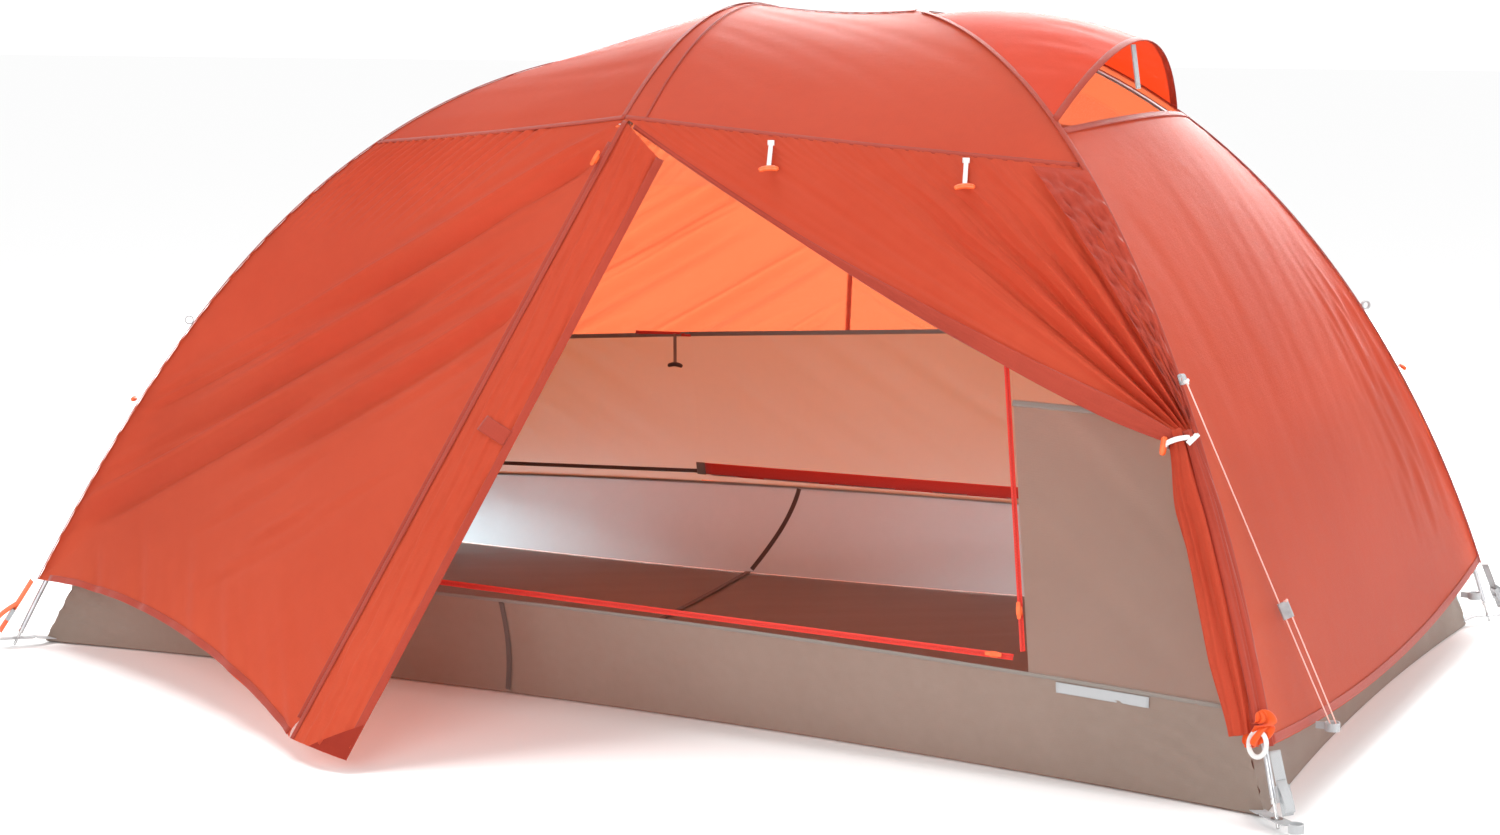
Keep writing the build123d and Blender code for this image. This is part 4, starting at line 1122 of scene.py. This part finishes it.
def wall_pick(side):
    return lambda centre: 0 if centre[2] < opaque_top(side, centre[0]) else 1


def wall_relief(seed):
    def relief(u, v, p):
        return waves(p[..., 0] * 0.7 + p[..., 2], p[..., 0], 0.13, seed) * 0.0022 * np.sqrt(
            np.clip(billow(u, v), 0, 1)
        )

    return relief


def add_walls():
    for side in (NEAR, FAR):
        pieces = []
        for end in ("head", "foot"):
            surface = part_of(panel_beside_door(side, end), 0.0, 0.985, 0.0, 0.99)
            name = f"inner_wall_{end}_{SIDES[side]}"
            held = ("stretched", ["body_clips"])
            pieces.append(
                panel(
                    name,
                    surface,
                    (40, 90),
                    wall_relief(61),
                    (INNER, NETTING),
                    pick=wall_pick(side),
                    held=held,
                )
            )
        opening = doorway(side)
        foot, head = canopy_leg("foot", side)(1.0), canopy_leg("head", side)(1.0)
        tip = at(CROSS_TIP, side) + np.array((0, -0.062 * side, -0.050))

        def band(u, v, opening=opening, foot=foot, head=head, tip=tip):
            low = opening(u, np.ones_like(u))
            x = low[..., 0]
            rising = lerp(foot, tip, np.clip((x - foot[0]) / (tip[0] - foot[0]), 0, 1))
            falling = lerp(tip, head, np.clip((x - tip[0]) / (head[0] - tip[0]), 0, 1))
            high = np.where((x < tip[0])[..., None], rising, falling)
            return low + (high - low) * (v * 0.97)[..., None]

        pieces.append(
            panel(
                f"inner_band_{SIDES[side]}",
                band,
                (60, 14),
                None,
                (NETTING,),
                held=("stretched", ["body_clips"]),
            )
        )
        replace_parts(pieces[0], f"inner_{SIDES[side]}_wall")
    for end in ("head", "foot"):
        start = leg_at_height(end, NEAR, TUB_CORNER_HEIGHT, CANOPY_INSET)
        left, right = (leg_between(end, side, start, 0.93, CANOPY_INSET) for side in (NEAR, FAR))
        surface = part_of(
            coons(tub_end_line(end), segment(left(1.0), right(1.0)), left, right), 0.008, 0.992, 0.0, 0.99
        )
        pick = lambda c: 0 if c[2] < 0.47 else 1
        held = ("stretched", ["body_clips"])
        made = panel(
            f"inner_end_{end}", surface, (50, 80), wall_relief(67), (INNER, NETTING), pick=pick, held=held
        )
        if end == "head":
            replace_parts(made, "inner_end_walls")
    first = None
    for end in ("head", "foot"):
        for side in (NEAR, FAR):
            patch = lowered(part_of(roof_patch(end, side), 0.0, 0.95, 0.0, 0.97))
            made = panel(
                f"inner_roof_{end}_{SIDES[side]}",
                patch,
                (24, 24),
                None,
                (NETTING,),
                held=("stretched", ["body_clips"]),
            )
            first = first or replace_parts(made, "inner_roof")


def add_tub():
    lift = np.array((0, 0, 0.0026))
    pieces = []
    runs = [(SIDES[side], long_edge(side), tub_top_line(side)) for side in (NEAR, FAR)]
    runs += [(end, short_edge(end), tub_end_line(end)) for end in ("head", "foot")]
    for label, low, high in runs:
        surface = lambda u, v, low=low, high=high: low(u) + lift + (high(u) - low(u) - lift) * v[..., None]

        def relief(u, v, p, label=label):
            run = p[..., 0] if label in ("near", "far") else p[..., 1]
            corners = np.maximum(hump(u, 0.0, 0.10), hump(u, 1.0, 0.12))
            pulls = waves(run * 0.7 + p[..., 2] * 1.4, run, 0.045, 71) * 0.0035 * corners
            soft = waves(run, p[..., 2], 0.17, 72) * 0.0022
            return (pulls + soft) * fade(v, 0.0, 0.2) * fade(v, 1.0, 0.8)

        # The far tub wall uses the lit copy of the groundsheet: painted light.
        cloth = (FAR_TUB_LIT if label == "far" else GROUND,)
        held = ("stretched", ["corner_webbing"])
        pieces.append(panel(f"tub_wall_{label}", surface, (160, 22), relief, cloth, held=held))
        if label in ("near", "far"):
            line = np.linspace(0.01, 0.99, 120)
            binding = seam(f"tub_binding_{label}", surface, line, 0.985, 0.006, 0.0012, GREY_TAPE)
            up_wall = np.linspace(0.03, 0.97, 30)
            place = 0.415 + 0.004 * np.sin(3 * up_wall) if label == "near" else 0.386 + 0.026 * np.sin(
                1.6 * up_wall
            )
            cross = seam(
                f"tub_cross_seam_{label}",
                surface,
                place,
                up_wall,
                0.009,
                -0.0022 if label == "far" else 0.0012,
                SEAM_TAPE,
            )
            pieces += [binding, cross]
            if label == "near":
                pieces.append(
                    seam("tub_patch", surface, np.linspace(0.868, 0.935, 24), 0.90, 0.016, 0.0012, WEBBING)
                )
    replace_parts(pieces[0], "tub_walls")
    near_edge, far_edge = long_edge(NEAR), long_edge(FAR)
    floor = coons(near_edge, far_edge, short_edge("foot"), short_edge("head"))

    def ground_relief(u, v, p):
        crease = waves(p[..., 0] + 0.3 * p[..., 1], p[..., 1], 0.30, 75) * 0.0016
        fine = waves(p[..., 1] * 0.8 - p[..., 0] * 0.5, p[..., 0], 0.09, 76) * 0.0007
        return (crease + fine + 0.0022) * fade(billow(u, v), 0.0, 0.15)

    floor_up = lambda u, v: floor(u, v) + np.array((0, 0, 0.0012))
    u, v, points = grid(floor_up, 140, 80)
    points[..., 2] += ground_relief(u, v, points)
    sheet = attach(lay_mesh("tub_floor_cloth", [points], (GROUND,)), "tent")
    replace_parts(sheet, "tub_floor")
    declare_sheet(sheet, [points], "laid", [])
    t = np.linspace(0.01, 0.99, 50)
    across = floor_up(0.415 - 0.029 * t**1.5, t)
    across[:, 2] += 0.0042
    pieces += [sheet, ribbon("tub_floor_seam", across, np.array((0, 0, 1.0)), 0.012, 0.0008, SEAM_TAPE)]


def wall_tape(name, surface, us, height, width, material, body="tent", inner=True):
    """A tape along a wall at a height, on its inner face if inner."""
    us = np.asarray(us, float)
    heights = np.broadcast_to(height, us.shape)
    vs = np.empty_like(us)
    for i, (u, z) in enumerate(zip(us, heights)):
        low, high = 0.0, 1.0
        for _ in range(24):
            middle = (low + high) / 2
            low, high = (middle, high) if surface(np.array(u), np.array(middle))[2] < z else (low, middle)
        vs[i] = low
    path, normals = surface_path(surface, us, vs, -0.0022 if inner else 0.0022)
    return ribbon(name, path, -normals if inner else normals, width, 0.0007, material, body)


def add_inner_details():
    opening = {side: doorway(side) for side in (NEAR, FAR)}
    far_door = part_of(opening[FAR], 0.0, 1.0, 0.003, 1.0)
    held = ("hung", ["inner_far_wall"])
    door = panel(
        "far_door_cloth",
        far_door,
        (70, 110),
        wall_relief(63),
        (INNER, NETTING),
        "far_door",
        wall_pick(FAR),
        held=held,
    )
    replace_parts(door, "far_door")
    us = np.linspace(0.0, 1.0, 50)
    heights = opaque_top(FAR, far_door(us, np.full_like(us, 0.45))[:, 0])
    pieces = [wall_tape("far_door_tape", far_door, us, heights, 0.009, GREY_TAPE, "far_door")]
    for end in ("head", "foot"):
        for side in (NEAR, FAR):
            surface = panel_beside_door(side, end)
            us_wall = np.linspace(0.0, 0.97, 24)
            xs = surface(us_wall, np.full_like(us_wall, 0.5))[:, 0]
            line = opaque_top(side, xs)
            name = f"inner_tape_{end}_{SIDES[side]}"
            pieces.append(wall_tape(name, surface, us_wall, line, 0.009, GREY_TAPE, inner=side == FAR))
    beside = panel_beside_door(FAR, "foot")
    us = np.linspace(0.0, 0.22, 10)
    pieces.append(wall_tape("inner_webbing_far", beside, us, heights[0] - 0.001, 0.009, RED_TAPE))
    us = np.linspace(0.0, 0.98, 40)
    path, normals = surface_path(beside, us, 0.035, -0.004)
    pieces.append(ribbon("inner_sill_binding_far", path, -normals, 0.008, 0.001, SEAM_TAPE))
    add_rain_flap(opening[FAR])
    for side in (NEAR, FAR):
        surface = opening[side]
        out = surface_path(surface, np.array([0.4, 0.5, 0.6]), 0.1, 0.0)[1][1]
        low, high = surface(np.array(0.02), np.array(ZIP_V)), surface(np.array(0.98), np.array(ZIP_V))
        made = zip_run(
            f"inner_sill_zip_{SIDES[side]}", low, high, out, "tent", RED_TAPE, RED_TAPE, 0.009
        )
        if side == NEAR:
            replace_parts(made[0], "inner_door_zips")
            low, high = (
                surface(np.array(1.0), np.array(v)) + np.array((-0.007, 0, 0)) for v in (0.04, 0.97)
            )
            zip_run("inner_side_zip_near", low, high, out, "tent", RED_TAPE, RED_TAPE, 0.008)
    add_door_roll()


def add_rain_flap(opening):
    """The stiff red flap inside the far door's lower edge, and the grey patch where it starts."""
    path, normals = surface_path(opening, np.linspace(0.012, 0.965, 60), 0.046, -0.006)
    flap = ribbon("far_door_flap", path, -normals, 0.024, 0.0016, RED_TAPE, "far_door")
    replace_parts(flap, "far_door_rain_flap")
    path, normals = surface_path(opening, np.linspace(-0.004, 0.012, 8), 0.046, -0.007)
    patch = ribbon("far_door_flap_patch", path, -normals, 0.026, 0.0018, GREY_TAPE, "far_door")


def add_door_roll():
    """The near inner door, rolled up on its foot-end edge and tied."""
    edge = door_edge("foot", NEAR)
    t = np.linspace(0.06, 0.90, 90)
    path = edge(t) + np.array((-0.012, 0.042, 0))

    def section(angle, place):
        fold = 1 + 0.10 * math.sin(4 * angle + 3 * place) + 0.05 * math.sin(11 * angle - 7 * place)
        pinch = 1 - 0.22 * math.exp(-(((place - 0.58) / 0.03) ** 2))
        return fold * pinch, fold * pinch

    roll = tube_mesh(
        "near_door_roll_cloth", path, rounded(0.025, 90, 0.08), INNER, ring=36, section=section
    )
    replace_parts(roll, "near_door_roll")


# ---------------------------------------------------------------- straps, toggles and corners
def add_toggle(node_name, high, low, across, body, elastic=None, bar=None):
    """One toggle: its elastic from high to low, and its bar centred on low."""
    high, low, across = (np.asarray(x, float) for x in (high, low, across))
    along = (low - high) / np.linalg.norm(low - high)
    across = across - along * across.dot(along)
    across /= np.linalg.norm(across)
    normal = np.cross(across, along)
    t = np.linspace(0, 1, 16)
    strip = ribbon(
        f"{node_name}_elastic",
        lerp(high, low - along * 0.001, t),
        normal,
        0.0062,
        0.0012,
        elastic or WHITE_TAPE,
        body,
    )
    s = np.linspace(-1, 1, 24)
    path = low + across * 0.0150 * s[:, None] + along * (0.0035 * s**2)[:, None]
    bar_piece = tube_mesh(
        f"{node_name}_bar",
        path,
        0.0026 + 0.0016 * np.sqrt(np.clip(1 - s**4, 0, 1)),
        bar or ORANGE_PLASTIC,
        body,
        ring=14,
    )
    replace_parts(bar_piece, node_name)


def joint_of(body):
    return next(j for j in frame["joints"] if j["child"] == body)


def toggle_ends(node_name):
    """A hanging toggle's pivot and the middle of its bar, from its joint and its CAD box."""
    pivot = np.array(joint_of(node_name)["pos_m"], float)
    low, high = (np.array(corner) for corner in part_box(node_name))
    middle = (low + high) / 2
    end = pivot + (middle - pivot) * 2
    end[2] = low[2] + 0.0045
    axis = np.array(joint_of(node_name)["axis"], float)
    return pivot, end, axis


def add_toggles():
    for node_name in sorted(frame["nodes"]):
        if node_name.startswith("roof_toggle"):
            high, low, axis = toggle_ends(node_name)
            add_toggle(node_name, high, low, axis, node_name)
    high, low, axis = toggle_ends("far_door_toggle")
    add_toggle("far_door_toggle", high, low, axis, "far_door_toggle", GREY_TAPE, DARK_CLIP)
    for end, side in (("head", FAR), ("foot", NEAR), ("foot", FAR)):
        high, low = (leg(end, side, TIE_T[end] - drop, -0.010) for drop in (0.0, 0.028))
        across = np.cross(leg(end, side, TIE_T[end], -0.020), low - high)
        name = f"tie_toggle_{end}_{SIDES[side]}"
        add_toggle(name, high, low, across, name)
    for side in (NEAR, FAR):
        for i in (1, 2):
            high, low, axis = toggle_ends(f"roof_toggle_{SIDES[side]}_{i}")
            out = np.array((0.0, side * 0.8, 0.6))
            path = lerp(
                high + np.array((0, 0, 0.004)), high - np.array((0, 0, 0.004)), np.linspace(0, 1, 6)
            )
            ribbon(f"roof_toggle_root_{SIDES[side]}_{i}", path, out, 0.010, 0.002, WHITE_TAPE)


def add_door_ties():
    """The elastic and toggle that hold the gathered door, and the band round the rolled inner door."""
    centre = leg("head", NEAR, TIE_T["head"] - 0.004) + np.array((-0.020, -0.013, -0.003))
    along = leg("head", NEAR, TIE_T["head"] + 0.01) - leg("head", NEAR, TIE_T["head"])
    along /= np.linalg.norm(along)
    side = np.cross(along, (0, 0, 1.0))
    side /= np.linalg.norm(side)
    up = np.cross(side, along)
    t = np.linspace(0, 2 * math.pi, 40)
    ring = centre + side * (np.cos(t) * 0.0225)[:, None] + up * (np.sin(t) * 0.0165)[:, None]
    normals = side * np.cos(t)[:, None] + up * np.sin(t)[:, None]
    band = ribbon("door_tie_band", ring, normals, 0.007, 0.0012, WHITE_TAPE)
    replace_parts(band, "door_ties")
    s = np.linspace(-1, 1, 20)
    toggle_at = centre + np.array((-0.020, -0.014, -0.004))
    path = toggle_at + np.array((0.15, -0.1, 1.0)) * 0.013 * s[:, None]
    bar = tube_mesh(
        "door_tie_toggle", path, 0.0028 + 0.002 * np.sqrt(np.clip(1 - s**4, 0, 1)), ORANGE_PLASTIC, ring=14
    )
    tail = lerp(
        centre + np.array((0.016, -0.018, 0.002)),
        leg("head", NEAR, TIE_T["head"], -0.006),
        np.linspace(0, 1, 8),
    )
    strap = ribbon("door_tie_strap", tail, np.array((0.3, -0.9, 0.2)), 0.007, 0.0012, WHITE_TAPE)
    edge = door_edge("foot", NEAR)
    roll = edge(0.55) + np.array((-0.012, 0.042, 0))
    rise = edge(0.6) - edge(0.5)
    rise /= np.linalg.norm(rise)
    x = np.cross(rise, (1.0, 0, 0))
    x /= np.linalg.norm(x)
    y = np.cross(rise, x)
    ring = roll + x * (np.cos(t) * 0.0225)[:, None] + y * (np.sin(t) * 0.0225)[:, None]
    normals = x * np.cos(t)[:, None] + y * np.sin(t)[:, None]
    second = ribbon("door_roll_band", ring, normals, 0.010, 0.0012, GREY_TAPE)


def corner_strap_line(end, side):
    high = leg(end, side, HEM_T[end] - 0.004, -0.009)
    low = leg(end, side, 0.0, -0.009) + np.array((0, 0, 0.022))
    return low, high


def add_fly_straps():
    for end in ("head", "foot"):
        for side in (NEAR, FAR):
            low, high = corner_strap_line(end, side)
            out = np.array((LEGS[end]["tip"][0] * 0.8, LEGS[end]["tip"][1] * side, 0.0))
            out += np.array((0.0, 0.9 * side, 0.0))
            out /= np.linalg.norm(out)
            red = (end, side) == ("foot", NEAR)
            material = ORANGE_TAPE if red else WEBBING
            t = np.linspace(0, 1, 20)
            main = ribbon(
                f"fly_strap_{end}_{SIDES[side]}", lerp(low, high, t), out, 0.015, 0.0013, material
            )
            tail_end = low + out * 0.012 + np.array((0, 0, 0.008))
            tail = bowed(lerp(low, high, 0.55), tail_end, out * 0.010)(t)
            lock = f"ladder_lock_{end}_{SIDES[side]}"
            tail_piece = ribbon(
                f"fly_strap_tail_{end}_{SIDES[side]}", tail, out, 0.013, 0.0012, material, lock
            )
            if (end, side) == ("head", NEAR):
                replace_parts(main, "fly_straps")


def add_sliders():
    """The zip sliders keep their CAD shape and get paint; the fly zips get their tapes here."""
    peg, top = at(STAKE_POINT, NEAR), at(CROSS_TIP, NEAR)
    out = np.array((0.15, -0.85, 0.45))
    zip_run(
        "near_flap_zip",
        lerp(peg, top, 0.03),
        lerp(peg, top, 0.96),
        out / np.linalg.norm(out),
        "near_flap",
        FLY_SEAM_AND_SHADE,
        FLY_SEAM_AND_SHADE,
        0.014,
    )
    peg, top = at(STAKE_POINT, FAR), at(CROSS_TIP, FAR)
    out = np.array((0.15, 0.85, 0.45))
    zip_run(
        "far_flap_zip",
        lerp(peg, top, 0.03),
        lerp(peg, top, 0.96),
        out / np.linalg.norm(out),
        "far_flap_foot",
        FLY,
        FLY,
        0.010,
    )


CARRIED = {
    ALLOY: ("leg_pole", "spine_pole", "cross_pole", "pole_ferrules"),
    STEEL: ("corner_grommets", "pole_tips"),
    BLACK_PLASTIC: ("hub_", "cross_saddle"),
    SHOCK: ("shock_cords",),
    DARK_CLIP: ("body_clips",),
    GREY_PLASTIC: ("ladder_lock", "guy_tensioner", "vent_strut"),
    WEBBING: ("corner_webbing", "hem_stake_loops", "guy_loops"),
    ORANGE_PLASTIC: (
        "near_flap_slider", "far_flap_slider", "near_sill_slider", "near_side_slider", "far_sill_slider"
    ),
}


def paint_carried():
    for name, thing in frame["nodes"].items():
        if thing.hide_render:
            continue
        for material, starts in CARRIED.items():
            if name.startswith(starts):
                thing.data.materials.clear()
                thing.data.materials.append(material)
                if not thing.data.uv_layers.get("cloth"):
                    box_map(thing.data)


def box_map(mesh):
    """UVs in metres from each face's flattest direction, for tape and cord finishes on a CAD node."""
    layer = mesh.uv_layers.new(name="cloth")
    for polygon in mesh.polygons:
        n = [abs(c) for c in polygon.normal]
        axis = n.index(max(n))
        a, b = [i for i in range(3) if i != axis]
        for loop in polygon.loop_indices:
            co = mesh.vertices[mesh.loops[loop].vertex_index].co
            layer.data[loop].uv = (co[a], co[b])


# ---------------------------------------------------------------- room and light
WORLD_LIGHT = 0.55
LIGHTS = (  # name, kind, place, power, size in metres or degrees
    ("overhead", "SUN", (-2.0, 0.6, 6.0), 1.6, 25),
    ("back", "AREA", (-0.9, 4.6, 2.4), 700, 4.5),
    ("key", "AREA", (-3.0, -3.6, 3.2), 45, 2.2),
    ("front", "AREA", (0.6, -5.2, 1.2), 105, 2.4),
    ("side", "AREA", (4.6, -0.8, 2.4), 105, 2.6),
)


def add_stage():
    material, tree, shader, _ = new_material("floor_white")
    shader.inputs["Base Color"].default_value = (0.95, 0.95, 0.95, 1)
    shader.inputs["Roughness"].default_value = 1.0
    shader.inputs["Specular IOR Level"].default_value = 0.0
    mesh = bpy.data.meshes.new("floor")
    size = 40
    corners = [(-size, -size, -0.001), (size, -size, -0.001), (size, size, -0.001), (-size, size, -0.001)]
    mesh.from_pydata(corners, [], [(0, 1, 2, 3)])
    mesh.materials.append(material)
    link("floor", mesh)
    world = bpy.data.worlds.new("studio")
    bpy.context.scene.world = world
    world.use_nodes = True
    tree = world.node_tree
    background = tree.nodes["Background"]
    background.inputs["Color"].default_value = (1, 1, 1, 1)
    seen = node(tree, "ShaderNodeLightPath").outputs["Is Camera Ray"]
    strength = node(tree, "ShaderNodeMapRange")
    strength.inputs["To Min"].default_value = WORLD_LIGHT
    strength.inputs["To Max"].default_value = 1.05
    tree.links.new(seen, strength.inputs["Value"])
    tree.links.new(strength.outputs["Result"], background.inputs["Strength"])
    for name, kind, place, power, size in LIGHTS:
        data = bpy.data.lights.new(name, kind)
        data.energy = power
        if kind == "SUN":
            data.angle = math.radians(size)
        else:
            data.size = size
        lamp = bpy.data.objects.new(name, data)
        lamp.location = place
        lamp.rotation_euler = (Vector((0, 0, 0.4)) - Vector(place)).to_track_quat("-Z", "Y").to_euler()
        bpy.context.collection.objects.link(lamp)
    bpy.context.scene.view_settings.view_transform = "Standard"


add_camera()
add_guyline()
add_roof()
add_leg_seams()
add_end_panels()
add_hood()
add_vestibule("foot", NEAR, "near_flap", ("near_flap", "fly_shoulders"), 81, 0.0)
add_vestibule("foot", FAR, "far_flap_foot", ("far_flap_foot",), 85, 0.0015)
add_vestibule("head", FAR, "far_flap_head", ("far_flap_head",), 89, 0.0015)
add_storm_strip()
add_drape()
add_bundle()
add_walls()
add_tub()
add_inner_details()
add_toggles()
add_door_ties()
add_fly_straps()
add_sliders()
paint_carried()
add_stage()
